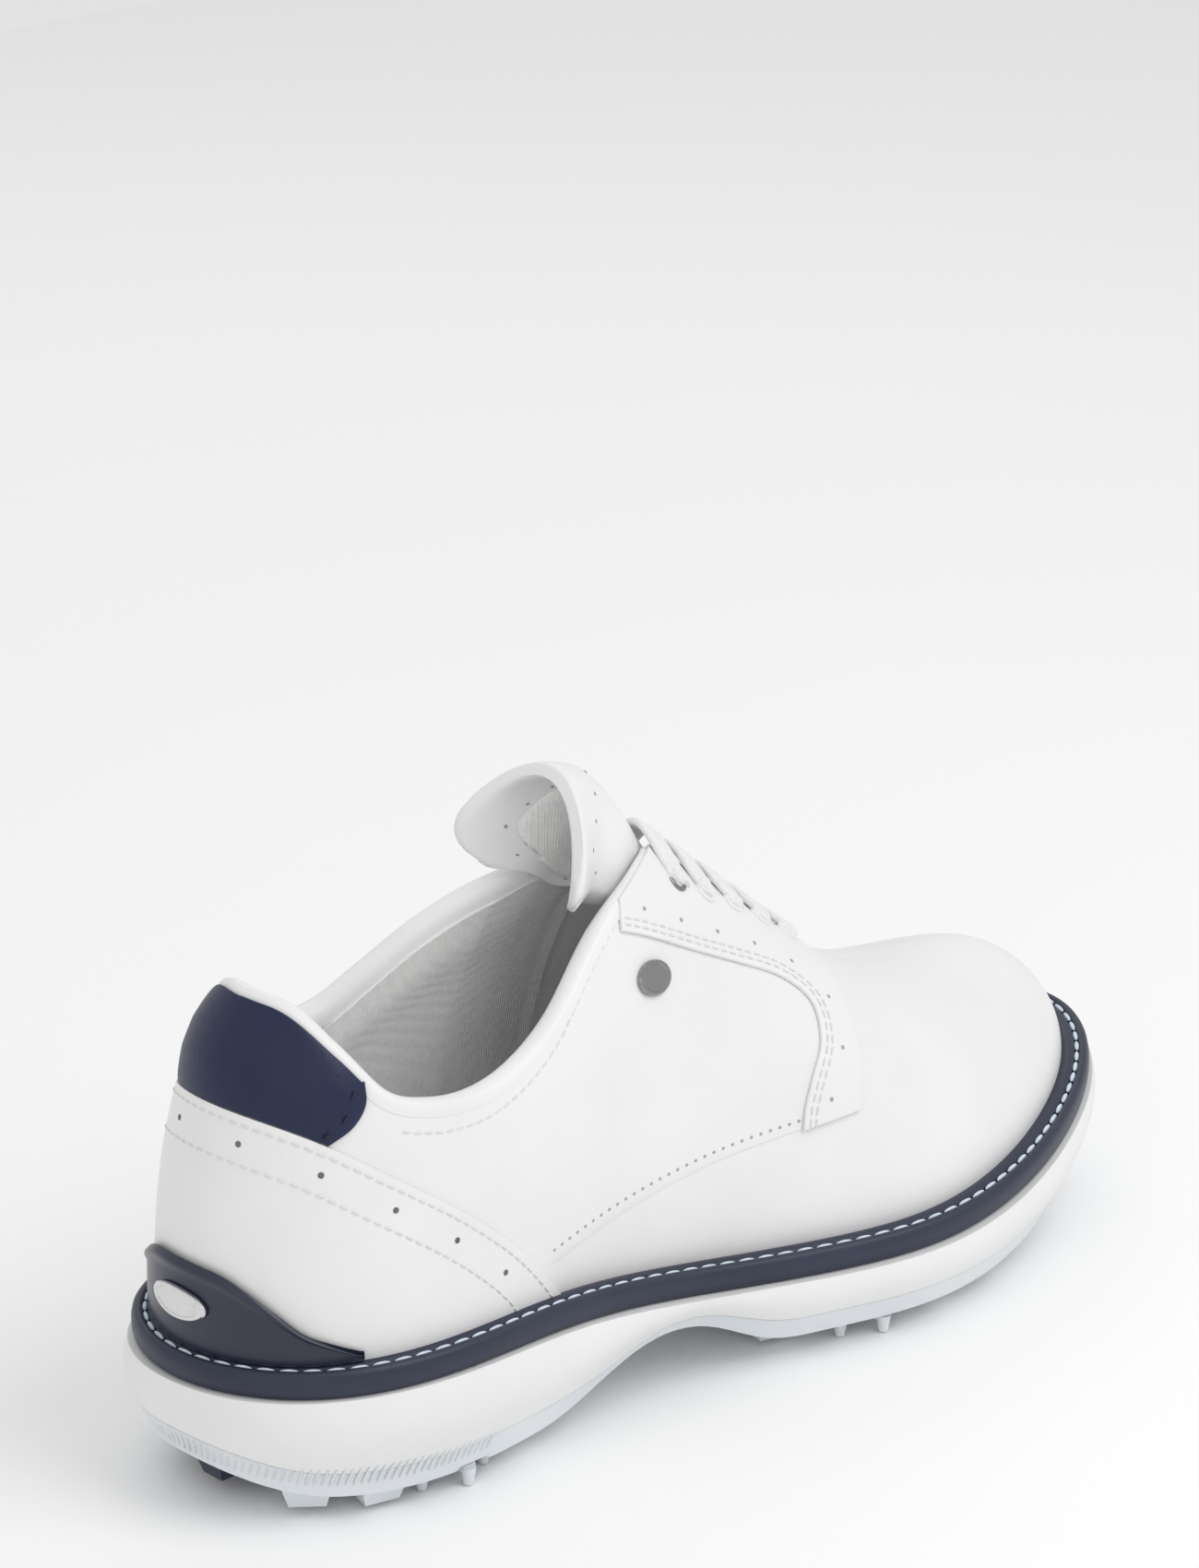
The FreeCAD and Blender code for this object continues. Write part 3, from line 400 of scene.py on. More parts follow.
def scatter(name, template, places):
    # copies of one small mesh, each turned to its own frame (origin, along, up), gathered in one piece
    source = np.array([vertex.co for vertex in template.data.vertices])
    faces = [list(polygon.vertices) for polygon in template.data.polygons]
    points, polygons = [], []
    for origin, along, up in places:
        along = along / (np.linalg.norm(along) + 1e-12)
        up = up - along * np.dot(up, along)
        up = up / (np.linalg.norm(up) + 1e-12)
        across = np.cross(up, along)
        start = len(points) * len(source)
        points.append(origin + source[:, :1] * along + source[:, 1:2] * across + source[:, 2:3] * up)
        polygons += [[start + k for k in face] for face in faces]
    mesh = bpy.data.meshes.new(name)
    mesh.from_pydata([tuple(p) for p in toWorld(np.vstack(points))], [], polygons)
    piece = bpy.data.objects.new(name, mesh)
    bpy.context.scene.collection.objects.link(piece)
    bpy.data.objects.remove(template)
    smooth(piece, 80)
    return piece


def bead(length, width, height, segments=8, rings=6):
    # one stitch: a rounded grain lying along X
    deselect()
    bpy.ops.mesh.primitive_uv_sphere_add(segments=segments, ring_count=rings, radius=1.0,
                                         rotation=(0, math.pi / 2, 0))
    piece = bpy.context.object
    bpy.ops.object.transform_apply(location=False, rotation=True, scale=False)
    for vertex in piece.data.vertices:
        vertex.co = (vertex.co.x * length / 2, vertex.co.y * width / 2, vertex.co.z * height / 2)
    return piece


# finishes
def newMaterial(name):
    material = bpy.data.materials.new(name)
    material.use_nodes = True
    nodes = material.node_tree.nodes
    nodes.clear()
    out = nodes.new("ShaderNodeOutputMaterial")
    shader = nodes.new("ShaderNodeBsdfPrincipled")
    material.node_tree.links.new(shader.outputs["BSDF"], out.inputs["Surface"])
    coordinates = nodes.new("ShaderNodeTexCoord")
    return material, nodes, material.node_tree.links, shader, coordinates


def startGroup(name, inputs, outputs):
    group = bpy.data.node_groups.new(name, "ShaderNodeTree")
    for label, kind in inputs:
        group.interface.new_socket(name=label, in_out="INPUT", socket_type=kind)
    for label, kind in outputs:
        group.interface.new_socket(name=label, in_out="OUTPUT", socket_type=kind)
    source, out = group.nodes.new("NodeGroupInput"), group.nodes.new("NodeGroupOutput")
    return group, group.nodes, group.links, source, out


def makeGrainGroup():
    # leather grain: fine pebbles, faint creases and a slow colour mask
    group, nodes, links, source, out = startGroup(
        "hideGrain", [("Vector", "NodeSocketVector"), ("Size", "NodeSocketFloat")],
        [("Height", "NodeSocketFloat"), ("Tone", "NodeSocketFloat")])
    pebbles = nodes.new("ShaderNodeTexVoronoi")
    pebbles.feature = "SMOOTH_F1"
    fine = nodes.new("ShaderNodeTexNoise")
    fine.inputs["Detail"].default_value = 4
    slow = nodes.new("ShaderNodeTexNoise")
    slow.inputs["Scale"].default_value = 28
    slow.inputs["Detail"].default_value = 2
    links.new(source.outputs["Vector"], pebbles.inputs["Vector"])
    links.new(source.outputs["Vector"], fine.inputs["Vector"])
    links.new(source.outputs["Vector"], slow.inputs["Vector"])
    links.new(source.outputs["Size"], pebbles.inputs["Scale"])
    fineSize = nodes.new("ShaderNodeMath")
    fineSize.operation = "MULTIPLY"
    fineSize.inputs[1].default_value = 0.31
    links.new(source.outputs["Size"], fineSize.inputs[0])
    links.new(fineSize.outputs[0], fine.inputs["Scale"])
    mixed = nodes.new("ShaderNodeMath")
    mixed.operation = "MULTIPLY_ADD"
    mixed.inputs[1].default_value = 0.6
    links.new(fine.outputs["Fac"], mixed.inputs[0])
    links.new(pebbles.outputs["Distance"], mixed.inputs[2])
    links.new(mixed.outputs[0], out.inputs["Height"])
    links.new(slow.outputs["Fac"], out.inputs["Tone"])
    return group


def makeWeaveGroup():
    # woven cloth: two crossing rows of threads
    group, nodes, links, source, out = startGroup(
        "clothWeave", [("Vector", "NodeSocketVector"), ("Threads", "NodeSocketFloat")],
        [("Height", "NodeSocketFloat"), ("Tone", "NodeSocketFloat")])
    heights = []
    for direction in ("X", "Y"):
        rows = nodes.new("ShaderNodeTexWave")
        rows.bands_direction = direction
        rows.inputs["Distortion"].default_value = 0.6
        rows.inputs["Detail"].default_value = 1.0
        links.new(source.outputs["Vector"], rows.inputs["Vector"])
        links.new(source.outputs["Threads"], rows.inputs["Scale"])
        heights.append(rows)
    cross = nodes.new("ShaderNodeMath")
    cross.operation = "MULTIPLY"
    links.new(heights[0].outputs["Fac"], cross.inputs[0])
    links.new(heights[1].outputs["Fac"], cross.inputs[1])
    fuzz = nodes.new("ShaderNodeTexNoise")
    fuzz.inputs["Scale"].default_value = 900
    links.new(source.outputs["Vector"], fuzz.inputs["Vector"])
    links.new(cross.outputs[0], out.inputs["Height"])
    links.new(fuzz.outputs["Fac"], out.inputs["Tone"])
    return group


grainGroup = makeGrainGroup()
weaveGroup = makeWeaveGroup()


def groupMaterial(name, group, sizeName, size, dark, light, rough, bump, distance, coat=0.0, sheen=0.0,
                  translucent=0.0, specular=0.5):
    material, nodes, links, shader, coordinates = newMaterial(name)
    pattern = nodes.new("ShaderNodeGroup")
    pattern.node_tree = group
    pattern.inputs[sizeName].default_value = size
    links.new(coordinates.outputs["Object"], pattern.inputs["Vector"])
    ramp = nodes.new("ShaderNodeValToRGB")
    ramp.color_ramp.elements[0].position = 0.3
    ramp.color_ramp.elements[0].color = (*dark, 1)
    ramp.color_ramp.elements[1].position = 0.7
    ramp.color_ramp.elements[1].color = (*light, 1)
    links.new(pattern.outputs["Tone"], ramp.inputs["Fac"])
    links.new(ramp.outputs["Color"], shader.inputs["Base Color"])
    raised = nodes.new("ShaderNodeBump")
    raised.inputs["Strength"].default_value = bump
    raised.inputs["Distance"].default_value = distance
    links.new(pattern.outputs["Height"], raised.inputs["Height"])
    links.new(raised.outputs["Normal"], shader.inputs["Normal"])
    spread = nodes.new("ShaderNodeMapRange")
    spread.inputs["To Min"].default_value = rough - 0.05
    spread.inputs["To Max"].default_value = rough + 0.07
    links.new(pattern.outputs["Tone"], spread.inputs["Value"])
    links.new(spread.outputs["Result"], shader.inputs["Roughness"])
    shader.inputs["Coat Weight"].default_value = coat
    shader.inputs["Coat Roughness"].default_value = 0.35
    shader.inputs["Sheen Weight"].default_value = sheen
    shader.inputs["Specular IOR Level"].default_value = specular
    if translucent:
        shader.inputs["Subsurface Weight"].default_value = translucent
        shader.inputs["Subsurface Radius"].default_value = (1.0, 1.0, 1.2)
        shader.inputs["Subsurface Scale"].default_value = 0.003
    return material


def hideFinish(name, size, *look, **extra):
    return groupMaterial(name, grainGroup, "Size", size, *look, **extra)


def clothFinish(name, threads, *look, **extra):
    return groupMaterial(name, weaveGroup, "Threads", threads, *look, **extra)


whiteHide = hideFinish("whiteHide", 1500.0, (0.80, 0.795, 0.795), (0.845, 0.84, 0.84), 0.42, 0.10,
                       0.00012, coat=0.12)
whiteRoll = hideFinish("whiteRoll", 1300.0, (0.80, 0.80, 0.80), (0.85, 0.85, 0.85), 0.45, 0.14,
                       0.00015, coat=0.08)
navyHide = hideFinish("navyHide", 1100.0, (0.0075, 0.0125, 0.043), (0.013, 0.020, 0.060), 0.40, 0.22,
                      0.0002, coat=0.0, specular=0.34)
weltRubber = hideFinish("weltRubber", 2200.0, (0.019, 0.025, 0.050), (0.028, 0.035, 0.064), 0.42, 0.10,
                        0.0001, coat=0.0, specular=0.4)
clipGloss = hideFinish("clipGloss", 1800.0, (0.018, 0.023, 0.046), (0.026, 0.032, 0.058), 0.30, 0.05,
                       0.0001, coat=0.15, specular=0.42)
midsoleFoam = hideFinish("midsoleFoam", 2600.0, (0.80, 0.80, 0.80), (0.84, 0.84, 0.84), 0.55, 0.12, 0.0001,
                         translucent=0.05)
lugRubber = hideFinish("lugRubber", 2000.0, (0.70, 0.74, 0.78), (0.78, 0.81, 0.84), 0.34, 0.08, 0.0001,
                       coat=0.15, translucent=0.25)
navyRubber = hideFinish("navyRubber", 2000.0, (0.018, 0.023, 0.045), (0.028, 0.033, 0.058),
                        0.45, 0.1, 0.0001)
liningCloth = clothFinish("liningCloth", 420.0, (0.80, 0.795, 0.785), (0.87, 0.865, 0.855), 0.75, 0.45,
                          0.00025, sheen=0.25)
insoleCloth = clothFinish("insoleCloth", 700.0, (0.62, 0.66, 0.73), (0.70, 0.74, 0.80), 0.85, 0.2,
                          0.0001, sheen=0.3)
laceCloth = clothFinish("laceCloth", 900.0, (0.79, 0.79, 0.80), (0.86, 0.86, 0.87), 0.65, 0.4,
                        0.0002, sheen=0.2)
threadWhite = clothFinish("threadWhite", 1500.0, (0.70, 0.69, 0.69), (0.78, 0.77, 0.77), 0.6, 0.3, 0.0001)
threadPale = clothFinish("threadPale", 1500.0, (0.62, 0.72, 0.83), (0.76, 0.84, 0.92), 0.5, 0.3, 0.0001)
threadNavy = clothFinish("threadNavy", 1500.0, (0.004, 0.006, 0.016), (0.009, 0.012, 0.028),
                         0.6, 0.3, 0.0001)
# painted shade: these dark discs stand in for the shaded depth of the brogue holes
holeShadeDark = hideFinish("holeShadeDark", 900.0, (0.10, 0.10, 0.105), (0.17, 0.17, 0.175), 0.8, 0.1, 0.0001)
# painted shade: these grey dots stand in for the shaded depth of the small punched holes
holeShadeGrey = hideFinish("holeShadeGrey", 900.0, (0.34, 0.34, 0.35), (0.44, 0.44, 0.45), 0.8, 0.1, 0.0001)
boardFibre = hideFinish("boardFibre", 600.0, (0.42, 0.36, 0.28), (0.52, 0.46, 0.37), 0.85, 0.3, 0.0002)


def metalMaterial(name, colour, rough):
    material, nodes, links, shader, coordinates = newMaterial(name)
    shader.inputs["Metallic"].default_value = 1.0
    brushed = nodes.new("ShaderNodeTexNoise")
    brushed.inputs["Scale"].default_value = 1800
    brushed.inputs["Detail"].default_value = 3
    links.new(coordinates.outputs["Object"], brushed.inputs["Vector"])
    tone = nodes.new("ShaderNodeValToRGB")
    tone.color_ramp.elements[0].color = (*[c * 0.8 for c in colour], 1)
    tone.color_ramp.elements[1].color = (*colour, 1)
    links.new(brushed.outputs["Fac"], tone.inputs["Fac"])
    links.new(tone.outputs["Color"], shader.inputs["Base Color"])
    spread = nodes.new("ShaderNodeMapRange")
    spread.inputs["To Min"].default_value = rough
    spread.inputs["To Max"].default_value = rough + 0.12
    links.new(brushed.outputs["Fac"], spread.inputs["Value"])
    links.new(spread.outputs["Result"], shader.inputs["Roughness"])
    return material


darkNickel = metalMaterial("darkNickel", (0.30, 0.30, 0.31), 0.18)
badgeMetal = metalMaterial("badgeMetal", (0.36, 0.36, 0.37), 0.16)
badgeSilver = metalMaterial("badgeSilver", (0.78, 0.78, 0.79), 0.22)
whiteEnamel = hideFinish("whiteEnamel", 900.0, (0.78, 0.78, 0.78), (0.84, 0.84, 0.84), 0.3, 0.04,
                         0.0001, coat=0.2)
print("finishes ready")

# seam lines in the side view
seams = {
    "toplineLateral": [(-30, 121.5), (14, 121.5), (28, 121), (34, 112), (42, 100.5), (53, 96),
                       (67, 94.5), (80, 96.5),
                       (94, 102.5), (110, 114), (120, 119.5), (131, 123), (140, 124.5), (160, 124)],
    "toplineMedial": [(-30, 121.5), (14, 121.5), (28, 121), (34, 114), (42, 105), (54, 99),
                      (66, 99), (80, 106),
                      (92, 113), (105, 118.5), (118, 121.5), (131, 123.5), (140, 124.8), (160, 124)],
    "foxing": [(-30, 101.5), (4, 101), (16, 97), (26, 91.8), (39, 82.5), (59, 67.5), (76, 52), (89, 36)],
    "quarterLow": [(60, 30), (84, 45), (109, 50.5), (138, 55.5), (161, 57.8), (179, 58.5)],
    "quarterFront": [(179, 58.5), (185, 72), (192, 88), (197, 104)],
    "facing": [(121, 114.5), (140, 105.5), (158, 96.5), (170, 90), (176, 83.5), (174, 76), (168, 69),
               (164, 63), (162, 57.5)],
    "clip": [(-30, 63), (4, 62.5), (9, 61), (12, 57.5), (15, 53.5), (19, 48.5), (24, 45), (30, 41.5)],
}


def topT(side, s):
    line = cutT(s, seams["toplineLateral" if side == lateral else "toplineMedial"])
    return np.minimum(line, laceEdgeT(s))


def sRun(side, start, stop, count):
    # places round the last between two lengths, evenly spaced by arc
    if side == lateral:
        a = heelS if start is None else float(sAt(side, start))
    else:
        a = heelS + 1.0 if start is None else float(sAt(side, start))
    return np.linspace(a, float(sAt(side, stop)), count)


# vamp
vampShape = {"lift": -0.35, "thickness": 1.2, "columns": 150, "rows": 46, "start": 76.0}
footX = np.concatenate([np.linspace(vampShape["start"], 200, 70),
                        np.linspace(201, toeX, vampShape["columns"] - 70)])
footX[-1] = toeX
around = np.concatenate([sAt(lateral, footX), sAt(medial, footX[:-1])[::-1]])
across = np.concatenate([footX, footX[:-1][::-1]])
topOfVamp = np.interp(across, [76, 90, 120, 140, 160, 175, 190, 200, 206, 208],
                      [0.2, 0.25, 0.33, 0.38, 0.45, 0.55, 0.76, 0.9, 0.97, 1.0])
v = np.linspace(0, 1, vampShape["rows"])[:, None]
tNet = -0.06 + (topOfVamp[None] + 0.06) * (1 - (1 - v) ** 1.15)
vampNet = onLast(around[None] + 0 * tNet, tNet, vampShape["lift"])
flexLine = 214.0  # faint creases where the toes bend
bend = np.exp(-((vampNet[..., 0] - flexLine) / 9.0) ** 2) * np.clip((tNet - 0.45) / 0.4, 0, 1)
vampNet[..., 2] -= 0.25 * bend * np.cos((vampNet[..., 0] - flexLine) / 2.2)
vamp = faceOutward(netPiece("vamp", vampNet, True))
solid = vamp.modifiers.new("thickness", "SOLIDIFY")
solid.thickness = vampShape["thickness"] * shoe["scale"]
solid.offset = -1
applyAll(vamp)
smooth(vamp, 60)
finishPiece(vamp, "shoe", ["vamp", "toe_puff"], whiteHide)
print("vamp ready")

# quarters, facings
quarterShape = {"lift": 0.0, "thickness": 1.2, "columns": 250, "rows": 36}
facingShape = {"lift": 1.15, "thickness": 1.1, "columns": 150, "rows": 16}
punches, facingEdges = [], {}


def quarterBottom(side, s):
    low = cutT(s, seams["quarterLow"][1:])
    x = archPoint(s, np.zeros_like(s))[:, 0]
    front = cutT(s, seams["quarterFront"])
    base = np.where(x < 84, -0.06, low)
    corner = float(fromSide(side, [(179.0, 58.5)])[0, 0])
    pastCorner = s > corner if side == lateral else s < corner
    return np.where(pastCorner, front, base)


for side in (lateral, medial):
    s = sRun(side, None, 203.0, quarterShape["columns"])
    low, high = quarterBottom(side, s), topT(side, s)
    keep = high - low > 0.01
    s, low, high = s[keep], low[keep], high[keep]
    v = np.linspace(0, 1, quarterShape["rows"])[:, None]
    tNet = low[None] + (high - low)[None] * v
    net = onLast(s[None] + 0 * tNet, tNet, quarterShape["lift"])
    quarter = leatherSheet(side + "Quarter", net, quarterShape["thickness"], 0.3)
    finishPiece(quarter, "shoe", [side + "_quarter"], whiteHide)
    seamStart = float(sAt(side, 84.0))
    ahead = (s > seamStart) if side == lateral else (s < seamStart)
    seamPath = np.stack([s, low], -1)[ahead]
    corner = float(fromSide(side, [(164.0, 58.0)])[0, 0])
    seamPath = seamPath[(seamPath[:, 0] < corner) if side == lateral else (seamPath[:, 0] > corner)]
    punches.append((side, seamPath))

    inner = fromSide(side, seams["facing"])
    innerRun = evenOnLast(fair(inner, 400), facingShape["columns"])[0]
    backS = float(inner[0, 0])
    sTop = np.linspace(backS, float(sAt(side, 198.0)), 240)
    upper = np.stack([sTop, topT(side, sTop)], -1)
    frontLine = fromSide(side, fair(seams["quarterFront"], 30))
    level = laceEdgeT(frontLine[:, 0]) - 0.004
    frontRun = frontLine[frontLine[:, 1] < level][::-1]
    upper = upper[(upper[:, 0] < frontRun[0, 0]) if side == lateral else (upper[:, 0] > frontRun[0, 0])]
    outer = np.vstack([upper, frontRun])
    outerRun = evenOnLast(outer, facingShape["columns"])[0]
    v = np.linspace(0, 1, facingShape["rows"])[:, None, None]
    places = innerRun[None] * (1 - v) + outerRun[None] * v
    net = onLast(places[..., 0], places[..., 1], facingShape["lift"])
    facing = leatherSheet(side + "Facing", net, facingShape["thickness"], 0.35)
    finishPiece(facing, "shoe", [side + "_facing"], whiteHide)
    facingEdges[side] = (innerRun, outerRun)
print("quarters and facings ready")

# foxing and tab
foxingShape = {"lift": 1.15, "thickness": 1.1, "columns": 260, "rows": 30, "reach": 90.0}
s = np.linspace(float(sAt(medial, foxingShape["reach"])) - 1.0, float(sAt(lateral, foxingShape["reach"])),
                foxingShape["columns"])
high = cutT(s, seams["foxing"])
low = np.full_like(s, -0.05)
v = np.linspace(0, 1, foxingShape["rows"])[:, None]
tNet = low[None] + (high - low)[None] * v
foxing = leatherSheet("foxing", onLast(s[None] + 0 * tNet, tNet, foxingShape["lift"]),
                      foxingShape["thickness"], 0.35)
finishPiece(foxing, "shoe", ["heel_foxing", "heel_counter"], whiteHide)
foxingTop = np.stack([s, high], -1)

tabShape = {"lift": 0.9, "puff": 1.5, "thickness": 1.0, "rows": 40}
tabLine = [(37.5, 104), (36.6, 99), (33.0, 94.5), (27.5, 91.0)]


def tabEnds(side):
    return fromSide(side, tabLine)


def tabNet():
    halves = []
    for side in (lateral, medial):
        end = tabEnds(side)
        endRun = fair(end[::-1], tabShape["rows"])
        centre = heelS if side == lateral else heelS + 1.0
        sLow = np.linspace(centre, endRun[0, 0], 60)
        lowRun = np.stack([sLow, cutT(sLow, seams["foxing"]) + 0.002], -1)
        lowRun[-1] = endRun[0]
        sHigh = np.linspace(centre, endRun[-1, 0], 60)
        highRun = np.stack([sHigh, topT(side, sHigh) - 0.018], -1)
        highRun[-1] = endRun[-1]
        lowRun, highRun = evenOnLast(lowRun, 60)[0], evenOnLast(highRun, 60)[0]
        leftRun = np.stack([np.full(tabShape["rows"], centre),
                            np.linspace(lowRun[0, 1], highRun[0, 1], tabShape["rows"])], -1)
        halves.append(coons(lowRun, highRun, leftRun, endRun))
    other = halves[1][:, ::-1].copy()
    other[..., 0] -= 1.0
    return np.concatenate([other[:, :-1], halves[0]], 1)


places = tabNet()
rows, columns = places.shape[:2]
u = np.linspace(0, 1, columns)[None]
v = np.linspace(0, 1, rows)[:, None]
swell = (np.clip(np.minimum(u, 1 - u) * 9, 0, 1) ** 0.6
         * np.clip(np.minimum(v * 3, (1 - v) * 2.6), 0, 1) ** 0.7)
net = onLast(places[..., 0], places[..., 1], tabShape["lift"] + tabShape["puff"] * swell)
tab = leatherSheet("collarTab", net, tabShape["thickness"], 0.3)
finishPiece(tab, "shoe", ["collar_tab"], navyHide)
print("heel panels ready")

# rolled rim and padded collar lining
collarShape = {"throat": 131.5, "depth": 6.6}
s = np.concatenate([np.linspace(float(sAt(medial, collarShape["throat"])) - 1.0, heelS, 210)[:-1],
                    np.linspace(heelS, float(sAt(lateral, collarShape["throat"])), 210)])
high = np.where(s < heelS, np.minimum(cutT(s, seams["toplineMedial"]), laceEdgeT(s)),
                np.minimum(cutT(s, seams["toplineLateral"]), laceEdgeT(s)))
edgePoints = onLast(s, high)
alongEdge = np.gradient(edgePoints, axis=0)
alongEdge /= np.linalg.norm(alongEdge, axis=1, keepdims=True)
outEdge = lastNormal(s, high)
upEdge = np.cross(alongEdge, outEdge)
upEdge /= np.linalg.norm(upEdge, axis=1, keepdims=True)
upEdge *= np.where(upEdge[:, 2:3] < 0, -1, 1)
run = np.concatenate([[0], np.cumsum(np.linalg.norm(np.diff(edgePoints, axis=0), axis=1))])
fromEnd = np.minimum(run, run[-1] - run)
padding = 0.35 + 0.65 * np.clip((fromEnd - 4) / 34.0, 0, 1)  # the padding thins towards the throat

rimProfile = [(0.12, -3.4), (0.3, -2.4), (0.42, -1.4), (0.3, -0.5), (-0.35, 0.3), (-1.4, 0.75),
              (-2.8, 0.85), (-4.2, 0.45), (-5.3, -0.6), (-6.1, -2.0), (-6.5, -3.6)]
rimRows = []
for n, up in rimProfile:
    rimRows.append(edgePoints + outEdge * (n * np.where(n < 0, padding, 1.0))[:, None] + upEdge * up)
rim = leatherSheet("collarRim", np.stack(rimRows), 0.7, 0.0)
finishPiece(rim, "shoe", ["collar_rim"], whiteRoll)

liningRows = []
depths = np.linspace(0, 1, 40)
for depth in depths:
    t = (high - 0.035) * (1 - depth)
    swellIn = 1.1 * np.exp(-((depth - 0.18) / 0.14) ** 2) - 0.9 * np.clip((depth - 0.4) / 0.3, 0, 1)
    lift = -(collarShape["depth"] - 0.4) * padding - 0.55 - swellIn * padding
    liningRows.append(onLast(s, t, lift))
liningNet = np.stack(liningRows)
liningNet += lastNormal(s, high)[None] * (0.12 * np.sin(run / 3.1 + 3 * np.sin(run / 17.0))[None, :, None]
                                         * np.exp(-((depths - 0.2) / 0.2) ** 2)[:, None, None])
lining = netPiece("collarLining", liningNet)
faceOutward(lining)
solid = lining.modifiers.new("thickness", "SOLIDIFY")
solid.thickness = 0.0009
solid.offset = 1
applyAll(lining)
smooth(lining, 60)
finishPiece(lining, "shoe", ["quarter_lining", "collar_foam"], liningCloth)
print("collar ready")


# tongue
tongueShape = {"side": -5.24, "swell": 3.4, "shares": (0.0, 0.0, 0.2, 0.65), "middle": 0.9, "turn": 1.28,
               "steps": [226, 212, 200, 188, 177, 167, 158, 150],
               "thick": [1.4, 1.8, 2.2, 2.4, 2.6, 2.8, 3.0, 3.4, 3.8, 4.2, 4.4, 4.2],
               "head": [((139.5, 135.0), (129.0, 129.0, 10.4, 117.5, 118.0)),
                        ((133.5, 142.5), (121.0, 121.0, 11.2, 120.5, 123.5)),
                        ((126.5, 148.5), (113.5, 112.5, 16.4, 120.5, 125.5)),
                        ((119.0, 151.0), (106.0, 100.0, 23.6, 119.5, 128.0))],
               "along": 90, "across": 61, "corner": 0.085, "sides": (0.03, 0.97)}


def tongueRow(ridgeX):
    along = (ridgeX - last["ridgeBack"]) / (last["ridgeFront"] - last["ridgeBack"])
    footX = heelX + (toeX - heelX) * along
    swell = tongueShape["swell"] * np.clip((182.0 - ridgeX) / 14.0, 0, 1)
    edge = 0.68 + 0.12 * np.clip((188.0 - ridgeX) / 38.0, 0, 1)
    rises = edge + (0.92 - edge) * np.arange(4) / 3
    lifts = tongueShape["side"] + swell * np.array(tongueShape["shares"])
    left, right = sAt(lateral, footX), sAt(medial, footX)
    crown = (archPoint(left, np.array(0.985)) + archPoint(right, np.array(0.985))) / 2
    crown = crown + np.array([0, 0, (tongueShape["side"] + swell) * 1.2])
    return np.vstack([onLast(left, rises, lifts), crown[None], onLast(right, rises[::-1], lifts[::-1])])


def headRow(centre, wing):
    full = tongueShape["turn"]
    turn = (np.arange(9) - 4) / 4 * full
    bend = (1 - np.cos(turn)) / (1 - math.cos(full))
    back = np.where(np.arange(9) < 4, wing[0], wing[1])
    low = np.where(np.arange(9) < 4, wing[3], wing[4])
    return np.stack([centre[0] + (back - centre[0]) * bend,
                     tongueShape["middle"] + wing[2] * np.sin(turn) / math.sin(full),
                     centre[1] + (low - centre[1]) * bend], -1)


def thinner(row, thick):
    middle = (row[0, 1] + row[-1, 1]) / 2
    half = (row[-1, 1] - row[0, 1]) / 2
    narrow = (half - 0.8 * thick) / half
    return np.stack([row[:, 0] - 0.55 * thick, middle + (row[:, 1] - middle) * narrow,
                     row[:, 2] - 0.8 * thick], -1)


def denseGrid(rows):
    wide = np.stack([fair(row, tongueShape["across"]) for row in rows])
    return np.stack([fair(wide[:, k], tongueShape["along"]) for k in range(wide.shape[1])], 1)


tongueRows = [tongueRow(x) for x in tongueShape["steps"]] + [headRow(*head) for head in tongueShape["head"]]
tongueOut = denseGrid(tongueRows)
tongueIn = denseGrid([thinner(row, thick) for row, thick in zip(tongueRows, tongueShape["thick"])])


def gridAt(grid, v, a):
    v = np.clip(v, 0, 1) * (grid.shape[0] - 1)
    a = np.clip(a, 0, 1) * (grid.shape[1] - 1)
    i, j = np.minimum(v.astype(int), grid.shape[0] - 2), np.minimum(a.astype(int), grid.shape[1] - 2)
    f, g = (v - i)[..., None], (a - j)[..., None]
    return (grid[i, j] * (1 - f) * (1 - g) + grid[i + 1, j] * f * (1 - g)
            + grid[i, j + 1] * (1 - f) * g + grid[i + 1, j + 1] * f * g)


def tongueAt(v, a, depth):
    # depth 0 is the outer face and 1 the inner one
    v, a, depth = np.broadcast_arrays(np.asarray(v, float), np.asarray(a, float), np.asarray(depth, float))
    outer, inner = gridAt(tongueOut, v, a), gridAt(tongueIn, v, a)
    return outer + (inner - outer) * depth[..., None]


def roundCorner(a, left, right):
    # how far up the tongue reaches at each place across, so that its free corners are round
    across = np.clip(np.abs(2 * (a - left) / (right - left) - 1), 0, 1)
    return 1 - tongueShape["corner"] * across ** 9


def tongueShell(name, start, stop, left, right, depths, roundness, ripple=None):
    # a closed shell with rounded sides and ends between two depths of the tongue
    turn = np.linspace(0, math.pi, 9)[1:-1]
    a = np.concatenate([np.linspace(left, right, 56), right + roundness * np.sin(turn),
                        np.linspace(right, left, 56), left - roundness * np.sin(turn), [left]])
    d = np.concatenate([np.zeros(56), (1 - np.cos(turn)) / 2, np.ones(56), (1 + np.cos(turn)) / 2, [0.0]])
    cap = np.linspace(0, math.pi / 2, 7)[1:]
    v = np.concatenate([(start - roundness * np.sin(cap))[::-1], np.linspace(start, stop, 80),
                        stop + roundness * np.sin(cap)])
    flat = np.concatenate([np.cos(cap)[::-1], np.ones(80), np.cos(cap)])
    d = 0.5 + (d[None] - 0.5) * flat[:, None]
    depth = depths[0] + (depths[1] - depths[0]) * d
    v, a = v[:, None] * roundCorner(a, left, right)[None] + 0 * d, a[None] + 0 * d
    if ripple:
        depth = depth + ripple(v, a) * np.clip(d * 2 - 1, 0, 1)
    piece = netPiece(name, tongueAt(v, a, depth), True)
    normalsOut(piece)
    smooth(piece, 60)
    return piece


def finishTongue(piece, nodes, material):
    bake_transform(piece)
    if nodes:
        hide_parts(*nodes)
    piece.data.materials.clear()
    piece.data.materials.append(material)


